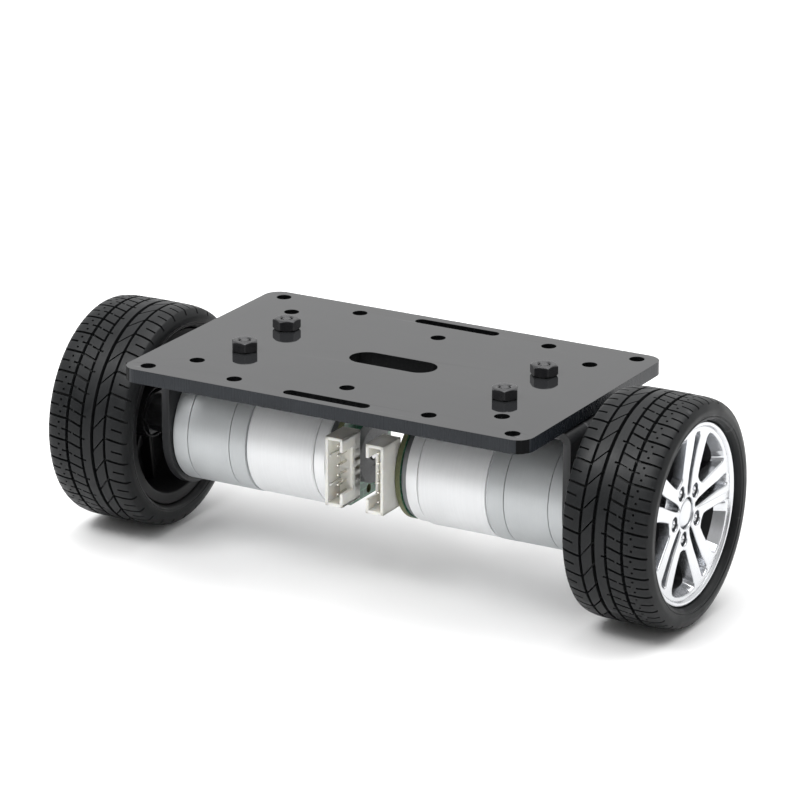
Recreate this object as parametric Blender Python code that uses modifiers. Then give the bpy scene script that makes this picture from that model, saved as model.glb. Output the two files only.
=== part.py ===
"""Two wheel robot car.

A flat deck carries two geared motors on L brackets, back to back on one axle
line. Each motor has an encoder board with a 6 way header on its tail and
drives a spoked rim with a rubber tyre through a hexagon coupling.

Frame: +X along the axle, +Z up, origin on the ground midway between the
tyres. Lengths below are millimetres and are turned into metres by MM.
"""

import math

import bmesh
import bpy
from mathutils import Matrix, Vector

MM = 0.001

# ---------------------------------------------------------------- dimensions
AXLE_Z = 32.5               # axle height = tyre radius
GAP = 0.3                   # clearance between neighbouring pieces

DECK_L = 128.6
DECK_W = 84.0
DECK_T = 4.0
DECK_TOP = 60.65
DECK_R = 5.0
DECK_HOLE_R = 2.15
DECK_HOLES = [(57.8, 37.1), (48.6, 25.95), (30.9, 35.0), (0.0, 25.95)]
BOLT_X, BOLT_Y = 41.7, 11.6
SLOT_L, SLOT_W = 27.0, 10.0
STRAP_L, STRAP_W, STRAP_Y = 27.0, 3.6, 37.2

NUT_AF, NUT_H, NUT_BORE_R = 7.0, 3.2, 2.25
SCREW_R = 1.95
PAN_R, PAN_H = 3.8, 2.3

BRK_IN, BRK_T, BRK_W = 63.2, 2.5, 36.0
BRK_FLANGE_X = 35.0
BRK_TOP = DECK_TOP - DECK_T - GAP - AXLE_Z      # flange top over the axle
BRK_BORE_R = 6.5
GEAR_SCREW_Y = 12.7

MOTOR_R = 16.5
FRONT_PLATE = (58.3, 62.9)
RING_X = (44.4, 58.0)
REAR_PLATE = (38.9, 44.1)
CAN_X = (16.8, 38.3)
CAN_R, CAN_WALL = 16.35, 1.4
CAP_X = (11.4, 16.5)
BOARD_X = (9.5, 11.1)
BOARD_R = 16.0
MAGNET_X, MAGNET_R = (5.8, 8.7), 8.5

MODULE = 0.75
SUN_Z, PLANET_Z, RING_Z = 9, 12, 33
ADDENDUM, DEDENDUM, BACKLASH = 0.7, 1.1, 0.3
GEAR_X = (50.7, 54.9)
CARRIER_X = (55.2, 57.7)
CENTRE_DIST = MODULE * (SUN_Z + PLANET_Z) / 2
PLANET_ANGLES = [90.0, 210.0, 330.0]

SHAFT_R = 3.0
SHAFT_END = 77.0
HEX_AF = 12.0
HEX_X = (78.7, 83.7)
COLLAR_X, COLLAR_R = (67.6, 78.7), 5.5

TYRE_X = (69.5, 96.4)
TYRE_R = AXLE_Z
RIM_LIP_X = 94.5
RIM_LIP_R = 25.9
SPOKE_PHASE = 8.4
LUG_R, LUG_PCR, LUG_FLOOR_X = 1.95, 7.3, 90.1   # wheel bolt recesses
BACKING_X = 87.4                                # floor of the spoke openings
SPOKES = 5
LATHE_STEPS = 24
TYRE_STEPS = 32
RIM_STEPS = 30

CONN_X = (3.7, 9.2)
CONN_Y = (-22.0, -12.0)
CONN_Z = (-9.2, 11.2)
PIN_PITCH, PIN_SIZE, PIN_X = 2.87, 0.6, 6.5


# ------------------------------------------------------------------- helpers
def clear_scene():
    for ob in list(bpy.data.objects):
        bpy.data.objects.remove(ob, do_unlink=True)
    for col in list(bpy.data.collections):
        bpy.data.collections.remove(col)


def material(name, rgb, rough, metal=0.0):
    mat = bpy.data.materials.new(name)
    mat.use_nodes = True
    bsdf = mat.node_tree.nodes["Principled BSDF"]
    bsdf.inputs["Base Color"].default_value = (*rgb, 1.0)
    bsdf.inputs["Roughness"].default_value = rough
    bsdf.inputs["Metallic"].default_value = metal
    mat.diffuse_color = (*rgb, 1.0)
    return mat


def add_object(name, mesh, mat=None, parent=None, loc=(0, 0, 0), rot=(0, 0, 0),
               collection=None):
    ob = bpy.data.objects.new(name, mesh)
    (collection or PARTS).objects.link(ob)
    ob.parent = parent
    ob.location = Vector(loc) * MM
    ob.rotation_euler = rot
    if mat is not None:
        mesh.materials.clear()
        mesh.materials.append(mat)
    return ob


def evaluated_mesh(ob, weld=True):
    bpy.context.view_layer.update()
    deps = bpy.context.evaluated_depsgraph_get()
    mesh = bpy.data.meshes.new_from_object(ob.evaluated_get(deps))
    if weld:
        bm = bmesh.new()
        bm.from_mesh(mesh)
        bmesh.ops.remove_doubles(bm, verts=bm.verts, dist=0.000005)
        bm.to_mesh(mesh)
        bm.free()
    return mesh


def smooth(mesh, angle=32.0):
    mesh.shade_smooth()
    mesh.set_sharp_from_angle(angle=math.radians(angle))


ALONG_X = (0, math.pi / 2, 0)            # a lathe's axis laid along +X
FACE_X = (math.pi / 2, 0, math.pi / 2)   # an outline in (Y, Z), thick along X
FACE_Y = (math.pi / 2, 0, 0)             # an outline in (X, Z), thick along Y


def lathe_mesh(name, profile, steps, ring):
    """Turn (radius, height) points about Z, outer side from top to bottom."""
    n = len(profile)
    mesh = bpy.data.meshes.new(name)
    edges = [(i, i + 1) for i in range(n - 1)]
    if ring:
        edges.append((n - 1, 0))
    mesh.from_pydata([(r * MM, 0.0, h * MM) for r, h in profile], edges, [])
    ob = bpy.data.objects.new(name + "_profile", mesh)
    GUIDES.objects.link(ob)
    mod = ob.modifiers.new("turn", "SCREW")
    mod.axis = "Z"
    mod.angle = 2 * math.pi
    mod.steps = steps
    mod.render_steps = steps
    mod.use_merge_vertices = True
    mod.merge_threshold = 0.00001
    mod.use_smooth_shade = True
    out = evaluated_mesh(ob)
    out.name = name
    bpy.data.objects.remove(ob, do_unlink=True)
    smooth(out)
    return out


def lathe(name, profile, mat, parent, steps=LATHE_STEPS, ring=False,
          loc=(0, 0, 0), rot=ALONG_X):
    mesh = lathe_mesh(name, profile, steps, ring)
    return add_object(name, mesh, mat, parent, loc, rot)


def tube_profile(r_out, r_in, lo, hi, chamfer=0.0):
    c = chamfer
    pts = []
    if c:
        pts += [(r_out - c, hi), (r_out, hi - c), (r_out, lo + c), (r_out - c, lo)]
    else:
        pts += [(r_out, hi), (r_out, lo)]
    pts += [(r_in, lo), (r_in, hi)]
    return pts


def outline_mesh(name, loops, thickness):
    """Extrude closed (u, v) loops; inner loops become openings."""
    curve = bpy.data.curves.new(name, "CURVE")
    curve.dimensions = "2D"
    curve.fill_mode = "BOTH"
    curve.extrude = thickness * MM / 2
    for loop in loops:
        spline = curve.splines.new("POLY")
        spline.points.add(len(loop) - 1)
        for pt, (u, v) in zip(spline.points, loop):
            pt.co = (u * MM, v * MM, 0.0, 1.0)
        spline.use_cyclic_u = True
    ob = bpy.data.objects.new(name + "_outline", curve)
    GUIDES.objects.link(ob)
    mesh = evaluated_mesh(ob)
    mesh.name = name
    bpy.data.objects.remove(ob, do_unlink=True)
    bpy.data.curves.remove(curve)
    smooth(mesh)
    return mesh


def plate(name, loops, thickness, mat, parent, loc=(0, 0, 0), rot=(0, 0, 0)):
    return add_object(name, outline_mesh(name, loops, thickness), mat, parent,
                      loc, rot)


def circle(r, n, cx=0.0, cy=0.0, phase=0.0):
    return [(cx + r * math.cos(phase + 2 * math.pi * i / n),
             cy + r * math.sin(phase + 2 * math.pi * i / n)) for i in range(n)]


def arc(cx, cy, r, a0, a1, n):
    return [(cx + r * math.cos(math.radians(a0 + (a1 - a0) * i / n)),
             cy + r * math.sin(math.radians(a0 + (a1 - a0) * i / n)))
            for i in range(n + 1)]


def rounded_rect(w, h, r, n=5, cx=0.0, cy=0.0):
    pts = []
    for sx, sy, a in ((1, 1, 0), (-1, 1, 90), (-1, -1, 180), (1, -1, 270)):
        pts += arc(cx + sx * (w / 2 - r), cy + sy * (h / 2 - r), r, a, a + 90, n)
    return pts


def stadium(length, width, n=8, cx=0.0, cy=0.0):
    r, d = width / 2, (length - width) / 2
    return arc(cx + d, cy, r, -90, 90, n) + arc(cx - d, cy, r, 90, 270, n)


def add_box(bm, lo, hi):
    size = [(b - a) * MM for a, b in zip(lo, hi)]
    mid = [(a + b) / 2 * MM for a, b in zip(lo, hi)]
    bmesh.ops.create_cube(bm, size=1.0, matrix=Matrix.Translation(mid)
                          @ Matrix.Diagonal((*size, 1.0)))


def add_cylinder(bm, r, length, centre, axis="Z", segments=16):
    turn = {"Z": Matrix.Identity(4), "X": Matrix.Rotation(math.pi / 2, 4, "Y"),
            "Y": Matrix.Rotation(math.pi / 2, 4, "X")}[axis]
    bmesh.ops.create_cone(bm, cap_ends=True, segments=segments, radius1=r * MM,
                          radius2=r * MM, depth=length * MM,
                          matrix=Matrix.Translation(Vector(centre) * MM) @ turn)


def cutter(name, bm, parent, rot=(0, 0, 0), loc=(0, 0, 0)):
    mesh = bpy.data.meshes.new(name)
    bm.to_mesh(mesh)
    bm.free()
    return cutter_object(name, mesh, parent, loc, rot)


def cutter_object(name, mesh, parent, loc=(0, 0, 0), rot=(0, 0, 0)):
    ob = add_object(name, mesh, None, parent, loc, rot, collection=CUTTERS)
    ob.hide_render = True
    ob.display_type = "WIRE"
    return ob


def subtract(ob, tool):
    mod = ob.modifiers.new("cut_" + tool.name, "BOOLEAN")
    mod.operation = "DIFFERENCE"
    mod.object = tool
    return mod


def empty(name, loc=(0, 0, 0), rot=(0, 0, 0), parent=None):
    ob = bpy.data.objects.new(name, None)
    ob.empty_display_size = 0.01
    PARTS.objects.link(ob)
    ob.parent = parent
    ob.location = Vector(loc) * MM
    ob.rotation_euler = rot
    return ob


def gear_outline(teeth, phase=0.0, internal=False):
    """Straight flanked teeth, four points a tooth, anticlockwise."""
    rp = MODULE * teeth / 2
    half = math.pi * MODULE / 4 - BACKLASH / 2
    slope = math.tan(math.radians(20))
    sign = -1 if internal else 1
    r_tip = rp + sign * ADDENDUM * MODULE
    r_root = rp - sign * DEDENDUM * MODULE
    h_tip = half - ADDENDUM * MODULE * slope
    h_root = half + DEDENDUM * MODULE * slope
    pts = []
    for k in range(teeth):
        c = phase + 2 * math.pi * k / teeth
        for r, h in ((r_root, -h_root), (r_tip, -h_tip),
                     (r_tip, h_tip), (r_root, h_root)):
            a = c + h / r
            pts.append((r * math.cos(a), r * math.sin(a)))
    return pts


def planet_phase(angle):
    """Turn of a planet whose tooth gap faces a tooth of the sun at rest."""
    return angle + math.pi - (2 * math.pi / PLANET_Z) * (
        0.5 - angle * SUN_Z / (2 * math.pi))


def ring_phase(angle):
    u = (angle - planet_phase(angle)) * PLANET_Z / (2 * math.pi) - 0.5
    return angle - u * 2 * math.pi / RING_Z


# --------------------------------------------------------------------- scene
clear_scene()
PARTS = bpy.data.collections.new("two_wheel_robot_car")
CUTTERS = bpy.data.collections.new("cutters")
GUIDES = bpy.data.collections.new("guides")
for col in (PARTS, CUTTERS, GUIDES):
    bpy.context.scene.collection.children.link(col)

M_DECK = material("deck_gloss_black", (0.030, 0.032, 0.036), 0.07)
M_BRACKET = material("bracket_black", (0.022, 0.023, 0.025), 0.38)
M_STEEL = material("black_steel", (0.026, 0.026, 0.028), 0.32, 0.3)
M_MOTOR = material("motor_silver", (0.44, 0.455, 0.465), 0.40, 1.0)
M_RING = material("gear_ring_silver", (0.64, 0.66, 0.68), 0.40, 1.0)
M_CAP = material("end_cap_bright", (0.80, 0.81, 0.82), 0.28, 1.0)
M_BOARD = material("board_green", (0.030, 0.110, 0.060), 0.42)
M_HEADER = material("header_white", (0.80, 0.79, 0.74), 0.45)
M_PIN = material("pin_metal", (0.74, 0.72, 0.66), 0.28, 1.0)
M_MAGNET = material("magnet_grey", (0.115, 0.115, 0.12), 0.50)
M_SHAFT = material("shaft_steel", (0.56, 0.56, 0.56), 0.26, 1.0)
M_GEAR = material("gear_steel", (0.50, 0.50, 0.50), 0.36, 1.0)
M_BUSH = material("bush_bronze", (0.62, 0.44, 0.22), 0.40, 1.0)
M_HEX = material("coupling_black", (0.026, 0.026, 0.028), 0.40, 0.3)
M_RIM = material("rim_bright", (0.82, 0.83, 0.85), 0.16, 1.0)
M_TYRE = material("tyre_rubber", (0.036, 0.036, 0.038), 0.72)
M_FOAM = material("foam_dark", (0.10, 0.10, 0.10), 0.95)


# ---------------------------------------------------------------------- deck
def build_deck():
    loops = [rounded_rect(DECK_L, DECK_W, DECK_R, 4)]
    for x, y in DECK_HOLES:
        for sx in ((1, -1) if x else (1,)):
            for sy in (1, -1):
                loops.append(circle(DECK_HOLE_R, 12, sx * x, sy * y))
    for sx in (1, -1):
        for sy in (1, -1):
            loops.append(circle(DECK_HOLE_R, 12, sx * BOLT_X, sy * BOLT_Y))
    loops.append(stadium(SLOT_L, SLOT_W, 7))
    for sy in (1, -1):
        loops.append(stadium(STRAP_L, STRAP_W, 4, 0.0, sy * STRAP_Y))
    deck = plate("deck_plate", loops, DECK_T, M_DECK, None,
                 loc=(0, 0, DECK_TOP - DECK_T / 2))
    # split the faces at the inner edge of the bracket flanges
    bm = bmesh.new()
    bm.from_mesh(deck.data)
    for sx in (1, -1):
        bmesh.ops.bisect_plane(bm, geom=bm.verts[:] + bm.edges[:] + bm.faces[:],
                               dist=1e-7,
                               plane_co=(sx * (BRK_FLANGE_X - 0.5) * MM, 0, 0),
                               plane_no=(1, 0, 0))
    bm.to_mesh(deck.data)
    bm.free()


def build_deck_fasteners():
    nut = outline_mesh("hex_nut", [circle(NUT_AF / math.sqrt(3), 6),
                                   circle(NUT_BORE_R, 12)], NUT_H)
    head_top = BRK_TOP + AXLE_Z - BRK_T - GAP
    tip = DECK_TOP + GAP + NUT_H - 0.15
    profile = [(0, tip), (SCREW_R - 0.4, tip), (SCREW_R, tip - 0.4),
               (SCREW_R, head_top), (PAN_R, head_top),
               (PAN_R, head_top - PAN_H + 0.9), (PAN_R - 0.9, head_top - PAN_H),
               (1.5, head_top - PAN_H), (1.5, head_top - PAN_H + 1.2),
               (0, head_top - PAN_H + 1.2)]
    screw = lathe_mesh("machine_screw", profile, 10, False)
    spots = [(-BOLT_X, BOLT_Y, 30), (-BOLT_X, -BOLT_Y, 3),
             (BOLT_X, BOLT_Y, 14), (BOLT_X, -BOLT_Y, 58)]
    for i, (x, y, turn) in enumerate(spots, 1):
        add_object("deck_screw_%d" % i, screw.copy(), M_STEEL, None, (x, y, 0))
        add_object("deck_nut_%d" % i, nut.copy(), M_STEEL, None,
                   (x, y, DECK_TOP + GAP + NUT_H / 2),
                   (0, 0, math.radians(turn)))


# ------------------------------------------------------------------- bracket
def build_bracket(side, axle):
    x0, x1, top, t = BRK_IN, BRK_IN + BRK_T, BRK_TOP, BRK_T
    ri, ro = 1.2, 1.2 + BRK_T
    cx, cz = x1 - ro, top - ro
    profile = [(BRK_FLANGE_X, top), *arc(cx, cz, ro, 90, 0, 5),
               (x1, -BRK_W / 2), (x0, -BRK_W / 2), *arc(cx, cz, ri, 0, 90, 4),
               (BRK_FLANGE_X, top - t)]
    ob = plate(side + "_motor_bracket", [profile[::-1]], BRK_W, M_BRACKET, axle,
               rot=FACE_Y)
    half = BRK_W / 2
    corner = [(-half - 3, 0.0), *arc(0, 0, half, 180, 360, 20),
              (half + 3, 0.0), (half + 3, -half - 3), (-half - 3, -half - 3)]
    round_off = cutter_object(side + "_bracket_round_cut",
                              outline_mesh("round_cut", [corner[::-1]], 8.0), axle,
                              (x0 + 1.25, 0, 0), FACE_X)
    bm = bmesh.new()
    add_cylinder(bm, BRK_BORE_R, 6, (x0 + 1.25, 0, 0), "X", 20)
    for sy in (1, -1):
        add_cylinder(bm, 1.8, 6, (x0 + 1.25, sy * GEAR_SCREW_Y, 0), "X", 12)
        add_cylinder(bm, DECK_HOLE_R, 6, (BOLT_X, sy * BOLT_Y, top - t / 2),
                     "Z", 12)
    holes = cutter(side + "_bracket_holes", bm, axle)
    subtract(ob, round_off)
    subtract(ob, holes)


# ------------------------------------------------------------------- gearbox
def build_gearbox(side, axle):
    lo, hi = FRONT_PLATE
    # front plate with a round boss through the bracket, blind screw holes
    front = lathe(side + "_gearbox_front_plate",
                  [(6.0, 66.2), (6.0, hi), (MOTOR_R - 0.4, hi), (MOTOR_R, hi - 0.4),
                   (MOTOR_R, lo), (5.2, lo), (5.2, 66.2)],
                  M_MOTOR, axle, ring=True)
    bm = bmesh.new()
    for sy in (1, -1):
        add_cylinder(bm, 1.75, 6, (hi, sy * GEAR_SCREW_Y, 0), "X", 8)
    subtract(front, cutter(side + "_front_plate_holes", bm, axle))

    plate(side + "_gear_ring",
          [circle(MOTOR_R, LATHE_STEPS),
           gear_outline(RING_Z, ring_phase(math.radians(PLANET_ANGLES[0])), True)],
          RING_X[1] - RING_X[0], M_RING, axle,
          ((RING_X[0] + RING_X[1]) / 2, 0, 0), FACE_X)

    lo, hi = REAR_PLATE
    lathe(side + "_gearbox_rear_plate",
          tube_profile(MOTOR_R, 2.4, lo, hi, 0.3), M_MOTOR, axle, ring=True)

    # output shaft: carrier disc with three planet pins, then a plain shaft
    r = SHAFT_R
    shaft = lathe(side + "_output_shaft",
                  [(0, SHAFT_END), (r - 0.4, SHAFT_END), (r, SHAFT_END - 0.4),
                   (r, CARRIER_X[1] + 0.3), (11.0, CARRIER_X[1] + 0.3),
                   (11.0, CARRIER_X[0]), (0, CARRIER_X[0])],
                  M_SHAFT, axle, steps=16)
    for mod_index, ang in enumerate(PLANET_ANGLES):
        a = math.radians(ang)
        bm = bmesh.new()
        add_cylinder(bm, 1.3, 6.4,
                     (CARRIER_X[0] - 2.4 + 0.4, CENTRE_DIST * math.cos(a),
                      CENTRE_DIST * math.sin(a)), "X", 8)
        pin = cutter("%s_carrier_pin_%d" % (side, mod_index + 1), bm, axle)
        mod = shaft.modifiers.new("pin_%d" % (mod_index + 1), "BOOLEAN")
        mod.operation = "UNION"
        mod.object = pin

    lathe(side + "_shaft_bush", tube_profile(4.9, 3.3, FRONT_PLATE[0] + 0.2, 66.0),
          M_BUSH, axle, steps=16, ring=True)

    width = GEAR_X[1] - GEAR_X[0]
    for i, ang in enumerate(PLANET_ANGLES):
        a = math.radians(ang)
        plate("%s_planet_gear_%d" % (side, i + 1),
              [gear_outline(PLANET_Z, planet_phase(a)), circle(1.65, 8)], width,
              M_GEAR, axle,
              ((GEAR_X[0] + GEAR_X[1]) / 2, CENTRE_DIST * math.cos(a),
               CENTRE_DIST * math.sin(a)), FACE_X)


# --------------------------------------------------------------------- motor
def build_motor(side, axle):
    lo, hi = CAN_X
    lathe(side + "_motor_can",
          tube_profile(CAN_R, CAN_R - CAN_WALL, lo, hi, 0.4), M_CAP, axle,
          ring=True)
    lo, hi = CAP_X
    lathe(side + "_motor_end_cap",
          [(15.9, hi), (15.9, 13.1), (15.4, 12.9), (15.4, lo), (2.0, lo), (2.0, hi)],
          M_CAP, axle, ring=True)

    # one turned rotor: shaft, iron core, and the sun gear on its front end
    r = 1.5
    rotor = lathe(side + "_rotor_shaft",
                  [(0, GEAR_X[1]), (r, GEAR_X[1]), (r, 37.0), (12.5, 37.0),
                   (12.5, 18.5), (r, 18.5), (r, MAGNET_X[0] + 0.2),
                   (0, MAGNET_X[0] + 0.2)], M_SHAFT, axle, steps=16)
    sun = cutter_object(side + "_sun_teeth",
                        outline_mesh("sun_teeth", [gear_outline(SUN_Z)],
                                     GEAR_X[1] - GEAR_X[0] + 0.4), axle,
                        ((GEAR_X[0] + GEAR_X[1]) / 2, 0, 0), FACE_X)
    mod = rotor.modifiers.new("sun_gear", "BOOLEAN")
    mod.operation = "UNION"
    mod.object = sun

    lathe(side + "_encoder_magnet", tube_profile(MAGNET_R, 1.8, *MAGNET_X, 0.3),
          M_MAGNET, axle, ring=True)


def build_encoder(side, frame):
    n = 32
    flat = 14.0
    outline = []
    for u, v in circle(BOARD_R, n, phase=math.pi / n):
        outline.append((u, min(v, flat)))
    flats = [p for p in outline if p[1] >= flat - 1e-9]
    keep = []
    for p in outline:
        if p in flats and p not in (min(flats), max(flats)):
            continue
        keep.append(p)
    loops = [keep, circle(2.2, 12)]
    for sy in (1, -1):
        loops.append(circle(1.3, 8, sy * 3.0, sy * 12.0))
    plate(side + "_encoder_board", loops, BOARD_X[1] - BOARD_X[0], M_BOARD, frame,
          ((BOARD_X[0] + BOARD_X[1]) / 2, 0, 0), FACE_X)

    # both headers stand at the same height over the floor
    (x0, x1), (y0, y1), (z0, z1) = CONN_X, CONN_Y, CONN_Z
    if side == "left":
        z0, z1 = -z1, -z0
    zc = (z0 + z1) / 2
    wall = 0.9
    floor_y = y0 + 7.0
    bm = bmesh.new()
    add_box(bm, (x0, y0, z0), (x1, y1, z1))
    mesh = bpy.data.meshes.new("header")
    bm.to_mesh(mesh)
    bm.free()
    header = add_object(side + "_encoder_header", mesh, M_HEADER, frame)
    half_pins = 2.5 * PIN_PITCH
    boxes = [
        ("cavity", (x0 + wall, y0 - 1, z0 + wall), (x1 - wall, floor_y, z1 - wall)),
        ("window", (x0 - 1, y0 - 1, zc - 6.05), (x0 + wall + 0.2, floor_y - 0.02,
                                                  zc + 6.05)),
        ("pin_way", (PIN_X - 0.65, floor_y - 0.1, zc - half_pins - 0.75),
         (PIN_X + 0.65, y1 + 1, zc + half_pins + 0.75)),
    ]
    for label, lo, hi in boxes:
        bm = bmesh.new()
        add_box(bm, lo, hi)
        subtract(header, cutter("%s_header_%s" % (side, label), bm, frame))

    # the six pins share one carrier strip behind the header
    y_strip, y_tip = y1 + 0.3, y0 + 2.0
    strip_w = 0.6
    top, bottom = zc + half_pins + PIN_SIZE / 2, zc - half_pins - PIN_SIZE / 2
    comb = [(y_strip, top), (y_strip + strip_w, top),
            (y_strip + strip_w, bottom), (y_strip, bottom)]
    teeth = []
    for k in range(6):
        z = zc - half_pins + k * PIN_PITCH
        pin = [(y_tip, z - PIN_SIZE / 2), (y_tip, z + PIN_SIZE / 2)]
        if k:
            teeth.append((y_strip, z - PIN_SIZE / 2))
        teeth += pin
        if k < 5:
            teeth.append((y_strip, z + PIN_SIZE / 2))
    loop = [(y_strip + strip_w, top), (y_strip + strip_w, bottom)] + teeth
    plate(side + "_header_pins", [loop[::-1]], PIN_SIZE, M_PIN, frame,
          (PIN_X, 0, 0), FACE_X)


# --------------------------------------------------------------------- wheel
def build_wheel(side, axle):
    hexa = outline_mesh("hex_head", [circle(HEX_AF / math.sqrt(3), 6)],
                        HEX_X[1] - HEX_X[0])
    coupling = lathe(side + "_hex_coupling",
                     [(0, COLLAR_X[1] + 1.2), (COLLAR_R, COLLAR_X[1] + 1.2),
                      (COLLAR_R, COLLAR_X[0]), (0, COLLAR_X[0])],
                     M_HEX, axle, steps=16)
    head = cutter_object(side + "_hex_head", hexa, axle,
                         ((HEX_X[0] + HEX_X[1]) / 2, 0, 0), FACE_X)
    mod = coupling.modifiers.new("hex", "BOOLEAN")
    mod.operation = "UNION"
    mod.object = head
    bm = bmesh.new()
    add_cylinder(bm, 2.3, 30.0, (80.0, 0, 0), "X", 10)
    bore = cutter(side + "_coupling_bore", bm, axle)
    bm = bmesh.new()
    add_cylinder(bm, SHAFT_R + GAP, 20.0, (SHAFT_END + 0.3 - 10.0, 0, 0), "X", 16)
    bore2 = cutter(side + "_coupling_shaft_bore", bm, axle)
    bm = bmesh.new()
    add_cylinder(bm, 1.9, 5.0, (72.5, 0, 5.2), "Z", 8)
    grub_hole = cutter(side + "_grub_hole", bm, axle)
    for tool in (bore, bore2, grub_hole):
        subtract(coupling, tool)

    lathe(side + "_coupling_grub_screw",
          [(0, 6.3), (0.75, 6.3), (0.75, 6.9), (1.55, 6.9), (1.55, 3.4), (0, 3.4)],
          M_STEEL, axle, steps=8, loc=(72.5, 0, 0), rot=(0, 0, 0))

    # rim: lip, spoke disc, hub, barrel with bead seats
    rim = lathe(side + "_wheel_rim",
                [(24.6, 94.5), (25.9, 94.2), (25.9, 92.9), (24.3, 92.3),
                 (23.5, 88.8), (23.5, 77.6), (24.3, 73.5), (25.9, 72.9),
                 (25.9, 71.2), (22.7, 71.2), (22.2, 84.0), (8.0, 86.0),
                 (7.6, 78.9), (2.5, 78.9), (2.5, 92.6), (12.0, 92.9),
                 (23.9, 93.7)], M_RIM, axle, steps=RIM_STEPS, ring=True)
    bm = bmesh.new()
    hex_cut = outline_mesh("hex_pocket", [circle(HEX_AF / math.sqrt(3) + 0.35, 6)],
                           8.0)
    subtract(rim, cutter_object(side + "_hex_pocket", hex_cut, axle,
                                (HEX_X[1] + 0.3 - 4.0, 0, 0), FACE_X))
    add_cylinder(bm, 4.4, 8.0, (88.0 + 4.0, 0, 0), "X", 20)
    subtract(rim, cutter(side + "_cap_recess", bm, axle))
    loops = []
    for k in range(SPOKES):
        slit = math.radians(SPOKE_PHASE + 72 * k)
        win = slit + math.radians(36)
        loops.append(window(win))
        loops.append(slit_outline(slit))
    # the openings end on a thin dark backing behind the spokes
    cut = outline_mesh("spoke_openings", loops, 20.0)
    subtract(rim, cutter_object(side + "_spoke_openings", cut, axle,
                                (BACKING_X + 10.0, 0, 0), FACE_X))

    # five blind recesses for the wheel bolts
    loops = []
    for k in range(SPOKES):
        a = math.radians(SPOKE_PHASE + 72 * k + 36)
        loops.append(circle(LUG_R, 10, LUG_PCR * math.cos(a), LUG_PCR * math.sin(a)))
    cut = outline_mesh("bolt_recesses", loops, 6.0)
    subtract(rim, cutter_object(side + "_bolt_recesses", cut, axle,
                                (LUG_FLOOR_X + 3.0, 0, 0), FACE_X))

    # tyre: open channel section, beads between the rim flanges
    lathe(side + "_tyre",
          [(29.2, TYRE_X[1]), (31.5, 95.5), (TYRE_R, 91.3), (TYRE_R, 74.6),
           (31.5, 70.4), (29.2, TYRE_X[0]), (26.6, 69.9), (26.2, 71.4),
           (26.2, 73.2), (24.7, 73.8), (24.7, 75.6), (29.6, 74.2), (29.6, 91.7),
           (24.7, 90.3), (24.7, 92.0), (26.2, 92.6), (26.2, 94.5), (26.8, 96.0)],
          M_TYRE, axle, steps=TYRE_STEPS, ring=True)
    lathe(side + "_tyre_foam", tube_profile(28.9, 24.8, 76.4, 89.5), M_FOAM,
          axle, steps=20, ring=True)

    # wheel screw through the hub into the coupling, and the cap over it
    lathe(side + "_wheel_screw",
          [(0, 89.1), (1.3, 89.1), (1.3, 89.9), (3.5, 89.9), (3.5, 88.3),
           (1.95, 88.3), (1.95, 78.3), (0, 78.3)],
          M_STEEL, axle, steps=12)
    lathe(side + "_hub_cap",
          [(0, 91.6), (2.4, 91.55), (3.5, 91.3), (4.05, 90.9), (4.05, 90.2),
           (0, 90.2)],
          M_RIM, axle, steps=16)

    for i, sy in enumerate((1, -1), 1):
        lathe("%s_bracket_screw_%d" % (side, i),
              [(0, 66.8), (0.9, 66.8), (0.9, 67.7), (2.2, 67.7), (2.75, 67.2),
               (2.75, 66.0), (1.45, 66.0), (1.45, 60.4), (0, 60.4)],
              M_STEEL, axle, steps=8, loc=(0, sy * GEAR_SCREW_Y, 0))


def window(mid):
    """Opening between two pairs of spokes, seen along the axle."""
    pts = []
    for r, half in ((11.4, 9.0), (14.0, 13.0), (18.0, 16.4), (21.9, 18.6)):
        pts.append((r, -half))
    for a in (-9.3, 0.0, 9.3):
        pts.append((21.9, a))
    for r, half in ((21.9, 18.6), (18.0, 16.4), (14.0, 13.0), (11.4, 9.0)):
        pts.append((r, half))
    return [(r * math.cos(mid + math.radians(a)), r * math.sin(mid + math.radians(a)))
            for r, a in pts]


def slit_outline(mid):
    """Narrow slit that splits one spoke in two, widening outwards."""
    c, s = math.cos(mid), math.sin(mid)
    shape = [(8.6, -0.45), (21.0, -1.7), (21.9, -0.9), (21.9, 0.9), (21.0, 1.7),
             (8.6, 0.45)]
    return [(u * c - v * s, u * s + v * c) for u, v in shape]


# --------------------------------------------------------------------- build
build_deck()
build_deck_fasteners()
for side_name, turn in (("right", 0.0), ("left", math.pi)):
    axle_frame = empty(side_name + "_axle", (0, 0, AXLE_Z), (0, 0, turn))
    encoder_frame = empty(side_name + "_encoder_frame", (0, 0, AXLE_Z),
                          (0, turn, 0))
    build_bracket(side_name, axle_frame)
    build_gearbox(side_name, axle_frame)
    build_motor(side_name, axle_frame)
    build_encoder(side_name, encoder_frame)
    build_wheel(side_name, axle_frame)
bpy.data.collections.remove(GUIDES)
bpy.context.view_layer.update()
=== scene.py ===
import math

import bmesh
import bpy
import numpy as np
from mathutils import Matrix, Vector


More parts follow.
